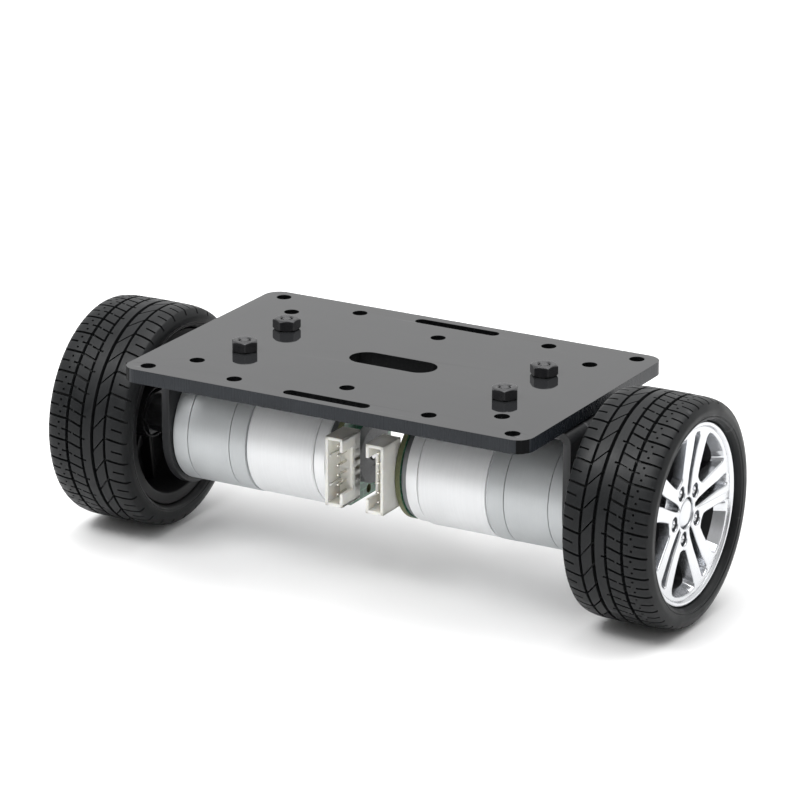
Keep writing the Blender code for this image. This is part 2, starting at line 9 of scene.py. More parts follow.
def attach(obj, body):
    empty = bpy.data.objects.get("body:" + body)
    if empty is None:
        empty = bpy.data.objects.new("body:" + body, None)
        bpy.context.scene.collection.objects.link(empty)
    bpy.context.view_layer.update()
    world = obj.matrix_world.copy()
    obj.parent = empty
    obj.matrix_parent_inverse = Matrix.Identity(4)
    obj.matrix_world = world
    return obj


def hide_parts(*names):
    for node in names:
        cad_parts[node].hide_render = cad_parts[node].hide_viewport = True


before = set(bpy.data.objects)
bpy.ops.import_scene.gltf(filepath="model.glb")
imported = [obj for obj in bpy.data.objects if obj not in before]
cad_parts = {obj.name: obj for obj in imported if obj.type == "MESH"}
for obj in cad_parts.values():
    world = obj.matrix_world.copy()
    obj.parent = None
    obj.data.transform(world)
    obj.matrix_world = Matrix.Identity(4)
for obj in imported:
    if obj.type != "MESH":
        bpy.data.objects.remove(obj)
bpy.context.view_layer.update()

MM = 0.001
AX = 32.5                      # axle height over the floor, millimetres
C = bpy.context.scene.collection
SIDES = (("right", 1), ("left", -1))


# ------------------------------------------------------------------ materials
class Nodes:
    """Small helper to write a material's node tree."""

    def __init__(self, name):
        self.mat = bpy.data.materials.new(name)
        self.mat.use_nodes = True
        self.t = self.mat.node_tree
        self.bsdf = self.t.nodes["Principled BSDF"]
        self.coord = self.new("ShaderNodeTexCoord").outputs["Object"]

    def new(self, kind, **props):
        n = self.t.nodes.new(kind)
        for k, v in props.items():
            setattr(n, k, v)
        return n

    def link(self, a, b):
        self.t.links.new(a, b)

    def scaled(self, scale, source=None):
        m = self.new("ShaderNodeMapping")
        m.inputs["Scale"].default_value = scale
        self.link(source or self.coord, m.inputs["Vector"])
        return m.outputs["Vector"]

    def noise(self, scale, detail=4.0, rough=0.55, vector=None, distortion=0.0):
        n = self.new("ShaderNodeTexNoise")
        n.inputs["Scale"].default_value = scale
        n.inputs["Detail"].default_value = detail
        n.inputs["Roughness"].default_value = rough
        n.inputs["Distortion"].default_value = distortion
        self.link(vector or self.coord, n.inputs["Vector"])
        return n.outputs["Fac"]

    def ramp(self, fac, stops):
        r = self.new("ShaderNodeValToRGB")
        cr = r.color_ramp
        cr.elements[0].position, cr.elements[0].color = stops[0][0], (*stops[0][1], 1)
        cr.elements[1].position, cr.elements[1].color = stops[-1][0], (*stops[-1][1], 1)
        for p, c in stops[1:-1]:
            e = cr.elements.new(p)
            e.color = (*c, 1)
        self.link(fac, r.inputs["Fac"])
        return r.outputs["Color"]

    def span(self, fac, lo, hi, a=0.3, b=0.7):
        m = self.new("ShaderNodeMapRange")
        m.inputs["From Min"].default_value = a
        m.inputs["From Max"].default_value = b
        m.inputs["To Min"].default_value = lo
        m.inputs["To Max"].default_value = hi
        self.link(fac, m.inputs["Value"])
        return m.outputs["Result"]

    def math(self, op, a, b=None):
        m = self.new("ShaderNodeMath", operation=op)
        for i, v in enumerate((a, b)):
            if v is None:
                continue
            if isinstance(v, (int, float)):
                m.inputs[i].default_value = v
            else:
                self.link(v, m.inputs[i])
        return m.outputs[0]

    def mix(self, fac, a, b):
        m = self.new("ShaderNodeMix", data_type="RGBA")
        self.link(fac, m.inputs["Factor"])
        for key, v in (("A", a), ("B", b)):
            sock = [s for s in m.inputs if s.name == key and s.type == "RGBA"][0]
            if isinstance(v, tuple):
                sock.default_value = (*v, 1)
            else:
                self.link(v, sock)
        return [s for s in m.outputs if s.type == "RGBA"][0]

    def bump(self, height, strength, distance, normal=None):
        b = self.new("ShaderNodeBump")
        b.inputs["Strength"].default_value = strength
        b.inputs["Distance"].default_value = distance
        self.link(height, b.inputs["Height"])
        if normal is not None:
            self.link(normal, b.inputs["Normal"])
        return b.outputs["Normal"]

    def turned(self, k_axis, k_radius):
        """Coordinates (x, radius about the axle) for lathe marks."""
        s = self.new("ShaderNodeSeparateXYZ")
        self.link(self.coord, s.inputs[0])
        z = self.math("SUBTRACT", s.outputs["Z"], AX * MM)
        r = self.math("SQRT", self.math("ADD", self.math("MULTIPLY", s.outputs["Y"],
                                                        s.outputs["Y"]),
                                        self.math("MULTIPLY", z, z)))
        c = self.new("ShaderNodeCombineXYZ")
        self.link(self.math("MULTIPLY", s.outputs["X"], k_axis), c.inputs[0])
        self.link(self.math("MULTIPLY", r, k_radius), c.inputs[1])
        return c.outputs[0]

    def wear(self, inner, outer, lo=0.515, hi=0.60):
        """Mix towards outer on convex edges."""
        g = self.new("ShaderNodeNewGeometry")
        f = self.span(g.outputs["Pointiness"], 0.0, 1.0, lo, hi)
        return self.mix(f, inner, outer)

    def done(self, colour=None, rough=None, normal=None, **fixed):
        b = self.bsdf.inputs
        if colour is not None:
            self.link(colour, b["Base Color"])
        if rough is not None:
            self.link(rough, b["Roughness"])
        if normal is not None:
            self.link(normal, b["Normal"])
        for k, v in fixed.items():
            b[k.replace("_", " ")].default_value = v
        return self.mat


def metal(name, dark, light, rough, spread, mark=9000.0, depth=0.000004,
          turned=True, stain=60.0, metallic=1.0):
    n = Nodes(name)
    marks = n.turned(mark, mark) if turned else n.scaled((mark, mark * 0.02, mark))
    lines = n.noise(1.0, 3.0, 0.6, marks)
    cloud = n.noise(stain, 5.0, 0.6)
    fine = n.noise(2200.0, 2.0, 0.5)
    both = n.math("ADD", n.math("MULTIPLY", cloud, 0.65),
                  n.math("MULTIPLY", lines, 0.35))
    col = n.ramp(both, [(0.32, dark), (0.68, light)])
    r = n.span(n.math("ADD", n.math("MULTIPLY", lines, 0.5),
                      n.math("MULTIPLY", cloud, 0.5)),
               rough - spread, rough + spread, 0.3, 0.7)
    nrm = n.bump(lines, 0.35, depth, n.bump(fine, 0.10, 0.000004))
    return n.done(col, r, nrm, Metallic=metallic)


def deck_material():
    n = Nodes("vis_deck_gloss")
    cloud = n.noise(22.0, 3.0, 0.5)
    fine = n.noise(900.0, 3.0, 0.6)
    dust = n.noise(140.0, 6.0, 0.7)
    col = n.ramp(n.math("ADD", n.math("MULTIPLY", cloud, 0.6),
                        n.math("MULTIPLY", dust, 0.4)),
                 [(0.3, (0.0130, 0.0135, 0.0145)), (0.7, (0.0175, 0.0180, 0.0190))])
    r = n.span(dust, 0.025, 0.055, 0.35, 0.75)
    scratch = n.noise(1.0, 2.0, 0.5, n.scaled((160.0, 3200.0, 100.0)))
    nrm = n.bump(cloud, 0.05, 0.00010, n.bump(scratch, 0.02, 0.000003,
                                               n.bump(fine, 0.02, 0.000003)))
    return n.done(col, r, nrm, IOR=1.49)


def deck_edge_material():
    n = Nodes("vis_deck_cut_edge")
    lines = n.noise(1.0, 2.0, 0.5, n.scaled((1500.0, 1500.0, 40.0)))
    cloud = n.noise(60.0, 4.0, 0.6)
    col = n.ramp(cloud, [(0.3, (0.010, 0.012, 0.015)), (0.7, (0.016, 0.019, 0.023))])
    r = n.span(lines, 0.22, 0.34)
    nrm = n.bump(lines, 0.02, 0.000002)
    return n.done(col, r, nrm, IOR=1.49, Specular_IOR_Level=0.22)


# Hole and slot walls are the same cut edge as the outer rim. This copy is painted much darker, with
# weaker specular, as painted shade inside the holes.
def hole_wall_painted_shade_material():
    n = Nodes("vis_deck_hole_wall")
    lines = n.noise(1.0, 2.0, 0.5, n.scaled((1500.0, 1500.0, 40.0)))
    col = n.ramp(lines, [(0.3, (0.0030, 0.0032, 0.0035)), (0.7, (0.0055, 0.0058, 0.0062))])
    return n.done(col, n.span(lines, 0.35, 0.5), n.bump(lines, 0.02, 0.000002),
                  Specular_IOR_Level=0.05)


def bracket_material():
    n = Nodes("vis_bracket_black")
    grain = n.noise(2600.0, 3.0, 0.6)
    cloud = n.noise(70.0, 5.0, 0.6)
    base = n.ramp(cloud, [(0.3, (0.014, 0.0145, 0.0155)), (0.7, (0.024, 0.025, 0.027))])
    col = n.wear(base, (0.10, 0.10, 0.105), 0.54, 0.66)
    r = n.span(cloud, 0.34, 0.50)
    return n.done(col, r, n.bump(grain, 0.22, 0.00002), IOR=1.5,
                  Specular_IOR_Level=0.3)


def rubber_material():
    n = Nodes("vis_tyre_rubber")
    grain = n.noise(3200.0, 4.0, 0.65)
    cloud = n.noise(45.0, 6.0, 0.62)
    patch = n.noise(220.0, 4.0, 0.6)
    f = n.math("ADD", n.math("MULTIPLY", cloud, 0.6), n.math("MULTIPLY", patch, 0.4))
    base = n.ramp(f, [(0.30, (0.0075, 0.0081, 0.0087)), (0.70, (0.0140, 0.0148, 0.0156))])
    col = n.wear(base, (0.040, 0.041, 0.043), 0.53, 0.70)
    r = n.span(patch, 0.34, 0.50)
    nrm = n.bump(grain, 0.30, 0.00003, n.bump(patch, 0.12, 0.00006))
    return n.done(col, r, nrm, IOR=1.5, Specular_IOR_Level=0.17)


def rim_black_material():
    n = Nodes("vis_rim_inner_black")
    grain = n.noise(1800.0, 3.0, 0.6)
    cloud = n.noise(80.0, 4.0, 0.6)
    col = n.ramp(cloud, [(0.3, (0.005, 0.005, 0.006)), (0.7, (0.011, 0.011, 0.012))])
    return n.done(col, n.span(cloud, 0.45, 0.62), n.bump(grain, 0.25, 0.00003),
                  Specular_IOR_Level=0.3)


def black_steel_material(name="vis_black_steel", rough=0.30):
    n = Nodes(name)
    cloud = n.noise(420.0, 5.0, 0.6)
    grain = n.noise(2600.0, 3.0, 0.6)
    base = n.ramp(cloud, [(0.3, (0.016, 0.016, 0.018)), (0.7, (0.034, 0.034, 0.036))])
    col = n.wear(base, (0.22, 0.22, 0.225), 0.55, 0.70)
    return n.done(col, n.span(grain, rough - 0.06, rough + 0.08),
                  n.bump(grain, 0.15, 0.00001), Metallic=0.35)


def chrome_material():
    n = Nodes("vis_rim_bright")
    cloud = n.noise(35.0, 4.0, 0.55)
    fine = n.noise(900.0, 3.0, 0.6)
    base = n.ramp(cloud, [(0.3, (0.58, 0.59, 0.61)), (0.7, (0.68, 0.69, 0.71))])
    r = n.span(n.math("ADD", n.math("MULTIPLY", cloud, 0.5),
                      n.math("MULTIPLY", fine, 0.5)), 0.17, 0.26, 0.35, 0.65)
    nrm = n.bump(cloud, 0.05, 0.00012, n.bump(fine, 0.05, 0.00001))
    return n.done(base, r, nrm, Metallic=1.0)


def header_material():
    n = Nodes("vis_header_nylon")
    cloud = n.noise(160.0, 4.0, 0.6)
    fine = n.noise(2400.0, 3.0, 0.6)
    col = n.ramp(cloud, [(0.3, (0.78, 0.77, 0.72)), (0.7, (0.89, 0.88, 0.835))])
    return n.done(col, n.span(cloud, 0.34, 0.48), n.bump(fine, 0.18, 0.00002),
                  Subsurface_Weight=0.25, Subsurface_Scale=0.0012,
                  Subsurface_Radius=(1.0, 0.85, 0.6), IOR=1.53)


def board_material():
    n = Nodes("vis_board_mask")
    cloud = n.noise(120.0, 3.0, 0.5)
    weave = n.new("ShaderNodeTexWave", wave_type="BANDS", bands_direction="Z")
    weave.inputs["Scale"].default_value = 420.0
    weave.inputs["Distortion"].default_value = 0.6
    n.link(n.coord, weave.inputs["Vector"])
    br = n.new("ShaderNodeTexBrick")
    br.inputs["Scale"].default_value = 260.0
    br.inputs["Mortar Size"].default_value = 0.06
    br.inputs["Brick Width"].default_value = 1.1
    br.inputs["Row Height"].default_value = 0.55
    sep = n.new("ShaderNodeSeparateXYZ")
    n.link(n.coord, sep.inputs[0])
    com = n.new("ShaderNodeCombineXYZ")
    n.link(sep.outputs["Y"], com.inputs[0])
    n.link(sep.outputs["Z"], com.inputs[1])
    n.link(com.outputs[0], br.inputs["Vector"])
    base = n.ramp(cloud, [(0.3, (0.020, 0.085, 0.050)), (0.7, (0.032, 0.125, 0.075))])
    col = n.mix(br.outputs["Fac"], base, (0.055, 0.20, 0.115))
    nrm = n.bump(br.outputs["Fac"], 0.25, 0.00003, n.bump(weave.outputs["Fac"], 0.04,
                                                       0.00001))
    return n.done(col, n.span(cloud, 0.28, 0.42), nrm, Coat_Weight=0.35,
                  Coat_Roughness=0.2)


def board_edge_material():
    n = Nodes("vis_board_edge")
    fib = n.noise(1.0, 3.0, 0.6, n.scaled((9000.0, 900.0, 900.0)))
    col = n.ramp(fib, [(0.3, (0.085, 0.095, 0.045)), (0.7, (0.17, 0.18, 0.085))])
    return n.done(col, n.span(fib, 0.5, 0.7), n.bump(fib, 0.2, 0.00002))


def magnet_material():
    n = Nodes("vis_magnet")
    grain = n.noise(1800.0, 4.0, 0.65)
    cloud = n.noise(90.0, 4.0, 0.6)
    col = n.ramp(cloud, [(0.3, (0.085, 0.085, 0.088)), (0.7, (0.135, 0.135, 0.138))])
    return n.done(col, n.span(grain, 0.38, 0.58), n.bump(grain, 0.2, 0.00002),
                  Metallic=0.35)


def part_material(name, lo, hi, rough=0.4, metallic=0.0):
    n = Nodes(name)
    cloud = n.noise(700.0, 3.0, 0.6)
    col = n.ramp(cloud, [(0.3, lo), (0.7, hi)])
    return n.done(col, n.span(cloud, rough - 0.06, rough + 0.08),
                  n.bump(cloud, 0.1, 0.00001), Metallic=metallic)


M = {
    "deck": deck_material(),
    "deck_edge": deck_edge_material(),
    "deck_hole_shade": hole_wall_painted_shade_material(),
    "bracket": bracket_material(),
    "rubber": rubber_material(),
    "rim_black": rim_black_material(),
    "chrome": chrome_material(),
    "header": header_material(),
    "board": board_material(),
    "board_edge": board_edge_material(),
    "magnet": magnet_material(),
    "motor": metal("vis_motor_steel", (0.52, 0.54, 0.55), (0.60, 0.62, 0.63), 0.46,
                   0.03, 6000.0, 0.0000012, metallic=0.45),
    "ring": metal("vis_ring_steel", (0.52, 0.54, 0.55), (0.60, 0.62, 0.63), 0.46,
                  0.03, 4200.0, 0.0000012, metallic=0.45),
    "can": metal("vis_can_plated", (0.80, 0.81, 0.82), (0.88, 0.89, 0.90), 0.44, 0.03,
                 2600.0, 0.0000012, metallic=0.4),
    "cap": metal("vis_cap_bright", (0.84, 0.85, 0.86), (0.90, 0.91, 0.92), 0.38, 0.03,
                 6000.0, 0.000001, metallic=0.45),
    "cap_grey": metal("vis_cap_grey", (0.22, 0.23, 0.24), (0.30, 0.31, 0.32), 0.42, 0.05,
                      6000.0, 0.000002),
    "screw": black_steel_material(),
    "plated": metal("vis_zinc_screw", (0.46, 0.46, 0.45), (0.66, 0.66, 0.65), 0.28, 0.07,
                    2500.0, 0.000004, turned=False, stain=500.0),
    "shaft": metal("vis_ground_shaft", (0.50, 0.50, 0.50), (0.66, 0.66, 0.66), 0.22, 0.05,
                   12000.0, 0.000003),
    "gear": metal("vis_gear_steel", (0.34, 0.34, 0.34), (0.48, 0.48, 0.48), 0.36, 0.07,
                  3000.0, 0.000005, turned=False, stain=400.0),
    "bronze": metal("vis_bush_bronze", (0.48, 0.33, 0.16), (0.66, 0.46, 0.24), 0.40, 0.06,
                    6000.0),
    "coupling": black_steel_material("vis_coupling_black", 0.40),
    "pin": metal("vis_tinned_pin", (0.66, 0.64, 0.58), (0.82, 0.80, 0.74), 0.24, 0.06,
                 3000.0, turned=False, stain=900.0),
    "foam": part_material("vis_foam", (0.06, 0.06, 0.06), (0.12, 0.12, 0.12), 0.9),
    "chip": part_material("vis_chip_body", (0.012, 0.012, 0.013), (0.026, 0.026, 0.027), 0.45),
    "ceramic": part_material("vis_ceramic_part", (0.42, 0.30, 0.20), (0.56, 0.42, 0.30), 0.42),
    "solder": part_material("vis_solder", (0.62, 0.62, 0.62), (0.80, 0.80, 0.80), 0.24, 1.0),
    "copper": part_material("vis_winding", (0.42, 0.16, 0.06), (0.62, 0.27, 0.11), 0.35, 0.9),
}


# -------------------------------------------------------------------- meshes
def to_side(sign):
    """Right side pieces are drawn in place; left ones are turned half a turn
    about the upright axis."""
    return Matrix.Identity(4) if sign > 0 else Matrix.Rotation(math.pi, 4, "Z")


def to_encoder(sign):
    """Encoder pieces turn half a turn about the fore-and-aft axis instead."""
    if sign > 0:
        return Matrix.Identity(4)
    up = Matrix.Translation((0, 0, AX * MM))
    return up @ Matrix.Rotation(math.pi, 4, "Y") @ up.inverted()


def finish_piece(name, mesh, mats, body, cad=(), angle=30.0, matrix=None,
                 weighted=True):
    if matrix is not None:
        mesh.transform(matrix)
    mesh.update()
    mesh.shade_smooth()
    mesh.set_sharp_from_angle(angle=math.radians(angle))
    for m in mats if isinstance(mats, (list, tuple)) else [mats]:
        mesh.materials.append(m)
    ob = bpy.data.objects.new(name, mesh)
    C.objects.link(ob)
    if weighted:
        mod = ob.modifiers.new("weighted", "WEIGHTED_NORMAL")
        mod.keep_sharp = True
        mod.weight = 80
    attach(ob, body)
    if cad:
        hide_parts(*([cad] if isinstance(cad, str) else cad))
    return ob


def mesh_from(verts, faces, mats=None):
    mesh = bpy.data.meshes.new("m")
    mesh.from_pydata([tuple(v) for v in verts], [], faces)
    if mats is not None:
        mesh.polygons.foreach_set("material_index", mats)
    return mesh


def fillet(profile, radius, n=3, closed=True):
    """Round each corner of a polyline by up to radius."""
    pts = [Vector(p) for p in profile]
    m = len(pts)
    out = []
    for i, p in enumerate(pts):
        if not closed and i in (0, m - 1):
            out.append(tuple(p))
            continue
        a, b = pts[(i - 1) % m] - p, pts[(i + 1) % m] - p
        if a.length < 1e-9 or b.length < 1e-9 or p.x <= 1e-9:
            out.append(tuple(p))
            continue
        ang = a.angle(b)
        if ang > math.radians(168):
            out.append(tuple(p))
            continue
        cut = min(radius / math.tan(ang / 2), a.length * 0.45, b.length * 0.45)
        pa, pb = p + a.normalized() * cut, p + b.normalized() * cut
        for k in range(n + 1):
            t = k / n
            q = pa * (1 - t) ** 2 + p * 2 * t * (1 - t) + pb * t * t
            out.append(tuple(q))
    return out


def lathe(profile, seg=128, closed=True, centre=(0.0, 0.0, AX), axis="X", mat_fn=None):
    """Turn (radius, height) millimetre points about an axis through centre."""
    verts, faces, mats = [], [], []
    n = len(profile)
    rows = []
    for r, h in profile:
        if r < 1e-6:
            rows.append([len(verts)])
            verts.append((h, 0.0, 0.0))
            continue
        row = []
        for j in range(seg):
            a = 2 * math.pi * j / seg
            row.append(len(verts))
            verts.append((h, r * math.cos(a), r * math.sin(a)))
        rows.append(row)
    pairs = [(i, i + 1) for i in range(n - 1)] + ([(n - 1, 0)] if closed else [])
    for i, k in pairs:
        a, b = rows[i], rows[k]
        if len(a) == 1 and len(b) == 1:
            continue
        mi = 0 if mat_fn is None else mat_fn((profile[i][0] + profile[k][0]) / 2,
                                             (profile[i][1] + profile[k][1]) / 2)
        for j in range(seg):
            j2 = (j + 1) % seg
            if len(a) == 1:
                f = (a[0], b[j2], b[j])
            elif len(b) == 1:
                f = (a[j], a[j2], b[0])
            else:
                f = (a[j], a[j2], b[j2], b[j])
            faces.append(f)
            mats.append(mi)
    turn = {"X": lambda v: (v[0], v[1], v[2]),
            "Z": lambda v: (v[1], v[2], v[0]),
            "Y": lambda v: (v[2], v[0], v[1])}[axis]
    c = centre
    verts = [tuple((t + o) * MM for t, o in zip(turn(v), c)) for v in verts]
    mesh = mesh_from(verts, faces, mats)
    bm = bmesh.new()
    bm.from_mesh(mesh)
    bmesh.ops.recalc_face_normals(bm, faces=bm.faces)
    bm.to_mesh(mesh)
    bm.free()
    return mesh


def outline(loops, thickness, bevel=0.0, res=2):
    """Closed (u, v) loops in millimetres, filled, thick along w."""
    curve = bpy.data.curves.new("outline", "CURVE")
    curve.dimensions = "2D"
    curve.fill_mode = "BOTH"
    curve.extrude = (thickness / 2 - bevel) * MM
    curve.bevel_depth = bevel * MM
    curve.bevel_resolution = res
    curve.offset = -bevel * MM
    for loop in loops:
        sp = curve.splines.new("POLY")
        sp.points.add(len(loop) - 1)
        for pt, (u, v) in zip(sp.points, loop):
            pt.co = (u * MM, v * MM, 0.0, 1.0)
        sp.use_cyclic_u = True
    ob = bpy.data.objects.new("outline", curve)
    C.objects.link(ob)
    bpy.context.view_layer.update()
    mesh = bpy.data.meshes.new_from_object(
        ob.evaluated_get(bpy.context.evaluated_depsgraph_get()))
    bpy.data.objects.remove(ob, do_unlink=True)
    bpy.data.curves.remove(curve)
    bm = bmesh.new()
    bm.from_mesh(mesh)
    bmesh.ops.remove_doubles(bm, verts=bm.verts, dist=0.000002)
    bm.to_mesh(mesh)
    bm.free()
    return mesh


FACE_X = Matrix(((0, 0, 1, 0), (1, 0, 0, 0), (0, 1, 0, 0), (0, 0, 0, 1)))


def at(x, y, z):
    return Matrix.Translation((x * MM, y * MM, z * MM))


def circle(r, n, cx=0.0, cy=0.0, phase=0.0):
    return [(cx + r * math.cos(phase + 2 * math.pi * i / n),
             cy + r * math.sin(phase + 2 * math.pi * i / n)) for i in range(n)]


def arc(cx, cy, r, a0, a1, n):
    return [(cx + r * math.cos(math.radians(a0 + (a1 - a0) * i / n)),
             cy + r * math.sin(math.radians(a0 + (a1 - a0) * i / n)))
            for i in range(n + 1)]


def rounded_rect(w, h, r, n=12):
    pts = []
    for sx, sy, a in ((1, 1, 0), (-1, 1, 90), (-1, -1, 180), (1, -1, 270)):
        pts += arc(sx * (w / 2 - r), sy * (h / 2 - r), r, a, a + 90, n)
    return pts


def stadium(length, width, n=24, cx=0.0, cy=0.0):
    r, d = width / 2, (length - width) / 2
    return arc(cx + d, cy, r, -90, 90, n) + arc(cx - d, cy, r, 90, 270, n)


def soft_box(bm, lo, hi, bevel=0.15, seg=2, mat=0):
    """A box with rounded edges, added to bm, millimetres."""
    size = [b - a for a, b in zip(lo, hi)]
    mid = [(a + b) / 2 * MM for a, b in zip(lo, hi)]
    res = bmesh.ops.create_cube(bm, size=1.0, matrix=Matrix.Translation(mid)
                                @ Matrix.Diagonal((*[s * MM for s in size], 1.0)))
    vs = res["verts"]
    es = list({e for v in vs for e in v.link_edges})
    fs = list({f for v in vs for f in v.link_faces})
    for f in fs:
        f.material_index = mat
    if bevel:
        w = min(bevel, min(size) * 0.45) * MM
        out = bmesh.ops.bevel(bm, geom=es, offset=w, segments=seg, profile=0.5,
                              affect="EDGES")
        for f in out["faces"]:
            f.material_index = mat


def bm_mesh(bm):
    mesh = bpy.data.meshes.new("m")
    bm.to_mesh(mesh)
    bm.free()
    return mesh


def join(meshes):
    """Several meshes as one, keeping material indices."""
    bm = bmesh.new()
    for m in meshes:
        bm.from_mesh(m)
    out = bm_mesh(bm)
    for m in meshes:
        bpy.data.meshes.remove(m)
    return out


# ----------------------------------------------------------------------- deck
DECK_TOP, DECK_T = 60.65, 4.0
BOLTS = [(-41.7, 11.6, 30), (-41.7, -11.6, 3), (41.7, 11.6, 14), (41.7, -11.6, 58)]


def build_deck():
    loops = [rounded_rect(128.6, 84.0, 5.0)]
    for x, y in ((57.8, 37.1), (48.6, 25.95), (30.9, 35.0), (0.0, 25.95)):
        for sx in ((1, -1) if x else (1,)):
            for sy in (1, -1):
                loops.append(circle(2.15, 40, sx * x, sy * y))
    for x, y, _ in BOLTS:
        loops.append(circle(2.15, 32, x, y))
    loops.append(stadium(27.0, 10.0))
    for sy in (1, -1):
        loops.append(stadium(27.0, 3.6, 14, 0.0, sy * 37.2))
    mesh = outline(loops, DECK_T, 0.12, 1)
    # Side faces inside the outline (hole and slot walls) take the painted-shade material; the outer
    # cut edges take the plain edge material.
    for p in mesh.polygons:
        inner = abs(p.center.x) < 0.0640 and abs(p.center.y) < 0.0416
        p.material_index = 0 if abs(p.normal.z) > 0.9 else 2 if inner else 1
    finish_piece("vis_deck_plate", mesh, [M["deck"], M["deck_edge"], M["deck_hole_shade"]], "chassis",
                 "deck_plate", 25.0,
                 at(0, 0, DECK_TOP - DECK_T / 2))


def hex_nut_mesh(af=7.0, h=3.2, bore=1.72, seg=96):
    rc = af / 2 * 0.955
    verts, faces = [], []

    def ring(fn):
        start = len(verts)
        for j in range(seg):
            a = 2 * math.pi * j / seg
            r, z = fn(a)
            verts.append((r * math.cos(a), r * math.sin(a), z))
        return start

    def hexr(a):
        m = (a % (math.pi / 3)) - math.pi / 6
        return af / 2 / math.cos(m)

    t = math.tan(math.radians(30))
    rows = []
    for s in (1, -1):
        part = [ring(lambda a: (bore + 0.42, s * h / 2)),
                ring(lambda a: (rc - 0.15, s * h / 2)),
                ring(lambda a: (rc, s * (h / 2 - 0.03))),
                ring(lambda a: (max(hexr(a) - 0.10, rc + 0.01),
                                s * (h / 2 - 0.03 - (max(hexr(a) - 0.10, rc + 0.01) - rc) * t))),
                ring(lambda a: (hexr(a), s * (h / 2 - 0.13 - (hexr(a) - rc) * t)))]
        rows.append(part)
    top, bot = rows
    chain = top + bot[::-1]
    for z in np.linspace(-h / 2 + 0.3, h / 2 - 0.3, 9):
        k = len(chain)
        depth = 0.36 if k % 2 else 0.0
        chain.append(ring(lambda a, z=z, d=depth: (bore + d, z)))
    n = len(chain)
    for i in range(n):
        a, b = chain[i], chain[(i + 1) % n]
        for j in range(seg):
            j2 = (j + 1) % seg
            faces.append((a + j, b + j, b + j2, a + j2))
    verts = [tuple(c * MM for c in v) for v in verts]
    mesh = mesh_from(verts, faces)
    bm = bmesh.new()
    bm.from_mesh(mesh)
    bmesh.ops.recalc_face_normals(bm, faces=bm.faces)
    bm.to_mesh(mesh)
    bm.free()
    return mesh


def thread(r, lo, hi, pitch=0.7, depth=0.36):
    """Profile points from hi to lo down a threaded shank."""
    pts = []
    z = hi
    while z > lo + pitch:
        pts += [(r, z), (r, z - pitch * 0.12), (r - depth, z - pitch * 0.5),
                (r - depth, z - pitch * 0.62)]
        z -= pitch
    pts.append((r, lo))
    return pts


def pan_screw(head_top, tip, r=1.95, head_r=3.8, head_h=2.3, drive=1.35):
    """Screw pointing up: profile from the tip down to the head."""
    pts = [(0, tip), (r - 0.55, tip), (r - 0.05, tip - 0.45)]
    pts += thread(r - 0.02, head_top + 0.8, tip - 0.5)
    pts += [(r, head_top), (head_r - 0.15, head_top), (head_r, head_top - 0.15),
            (head_r, head_top - head_h + 1.1), (head_r - 0.35, head_top - head_h + 0.4),
            (head_r - 1.1, head_top - head_h), (drive + 0.1, head_top - head_h),
            (drive, head_top - head_h + 0.1), (drive, head_top - head_h + 1.3),
            (0, head_top - head_h + 1.3)]
    return pts


def build_fasteners():
    for i, (x, y, turn) in enumerate(BOLTS, 1):
        mesh = hex_nut_mesh()
        finish_piece("vis_deck_nut_%d" % i, mesh, M["screw"], "chassis",
                     "deck_nut_%d" % i, 22.0,
                     at(x, y, DECK_TOP + 1.62) @ Matrix.Rotation(math.radians(turn), 4, "Z"))
        prof = pan_screw(53.55, 63.75, r=1.70)
        mesh = lathe(prof, 40, False, (x, y, 0), "Z")
        finish_piece("vis_deck_screw_%d" % i, mesh, M["screw"], "chassis",
                     "deck_screw_%d" % i, 28.0)


# -------------------------------------------------------------------- bracket
def build_bracket(side, sign):
    x1, t, w, top = 65.7, 2.5, 36.0, 23.85
    ro = 1.2 + t
    cx, cz = x1 - ro, top - ro
    u1 = cx - 35.0
    bend = (ro - t / 2) * math.pi / 2
    u2 = u1 + bend
    uc = u2 + cz
    loop = arc(2.0, w / 2 - 2.0, 2.0, 180, 90, 6) + [(uc, w / 2)]
    loop += arc(uc, 0, w / 2, 90, -90, 48)[1:-1] + [(uc, -w / 2)]
    loop += arc(2.0, -w / 2 + 2.0, 2.0, 270, 180, 6)
    loops = [loop, circle(6.5, 48, uc, 0)]
    for s in (1, -1):
        loops.append(circle(1.8, 24, uc, s * 12.7))
        loops.append(circle(2.15, 28, 41.7 - 35.0, s * 11.6))
    mesh = outline(loops, t, 0.22, 2)
    bm = bmesh.new()
    bm.from_mesh(mesh)
    for k in range(0, 15):
        u = (u1 + bend * k / 14) * MM
        geom = list(bm.verts) + list(bm.edges) + list(bm.faces)
        bmesh.ops.bisect_plane(bm, geom=geom, plane_co=(u, 0, 0), plane_no=(1, 0, 0))
    for v in bm.verts:
        u, y, q = v.co.x / MM, v.co.y / MM, t / 2 - v.co.z / MM
        if u <= u1:
            x, z = 35.0 + u, top - q
        elif u >= u2:
            x, z = x1 - q, cz - (u - u2)
        else:
            a = (u - u1) / bend * math.pi / 2
            x, z = cx + (ro - q) * math.sin(a), cz + (ro - q) * math.cos(a)
        v.co = (x * MM, y * MM, (z + AX) * MM)
    bm.to_mesh(mesh)
    bm.free()
    finish_piece("vis_%s_motor_bracket" % side, mesh, M["bracket"], "chassis",
                 side + "_motor_bracket", 28.0, to_side(sign))
    for i, s in enumerate((1, -1), 1):
        prof = fillet([(0, 66.9), (0.95, 66.9), (0.95, 67.75), (2.0, 67.75),
                       (2.72, 67.1), (2.75, 65.75), (1.45, 65.75), (1.45, 60.6),
                       (0, 60.6)], 0.12, 2, False)
        mesh = lathe(prof, 36, False, (0, s * 12.7, AX))
        finish_piece("vis_%s_bracket_screw_%d" % (side, i), mesh, M["screw"], "chassis",
                     "%s_bracket_screw_%d" % (side, i), 28.0,
                     to_side(sign))


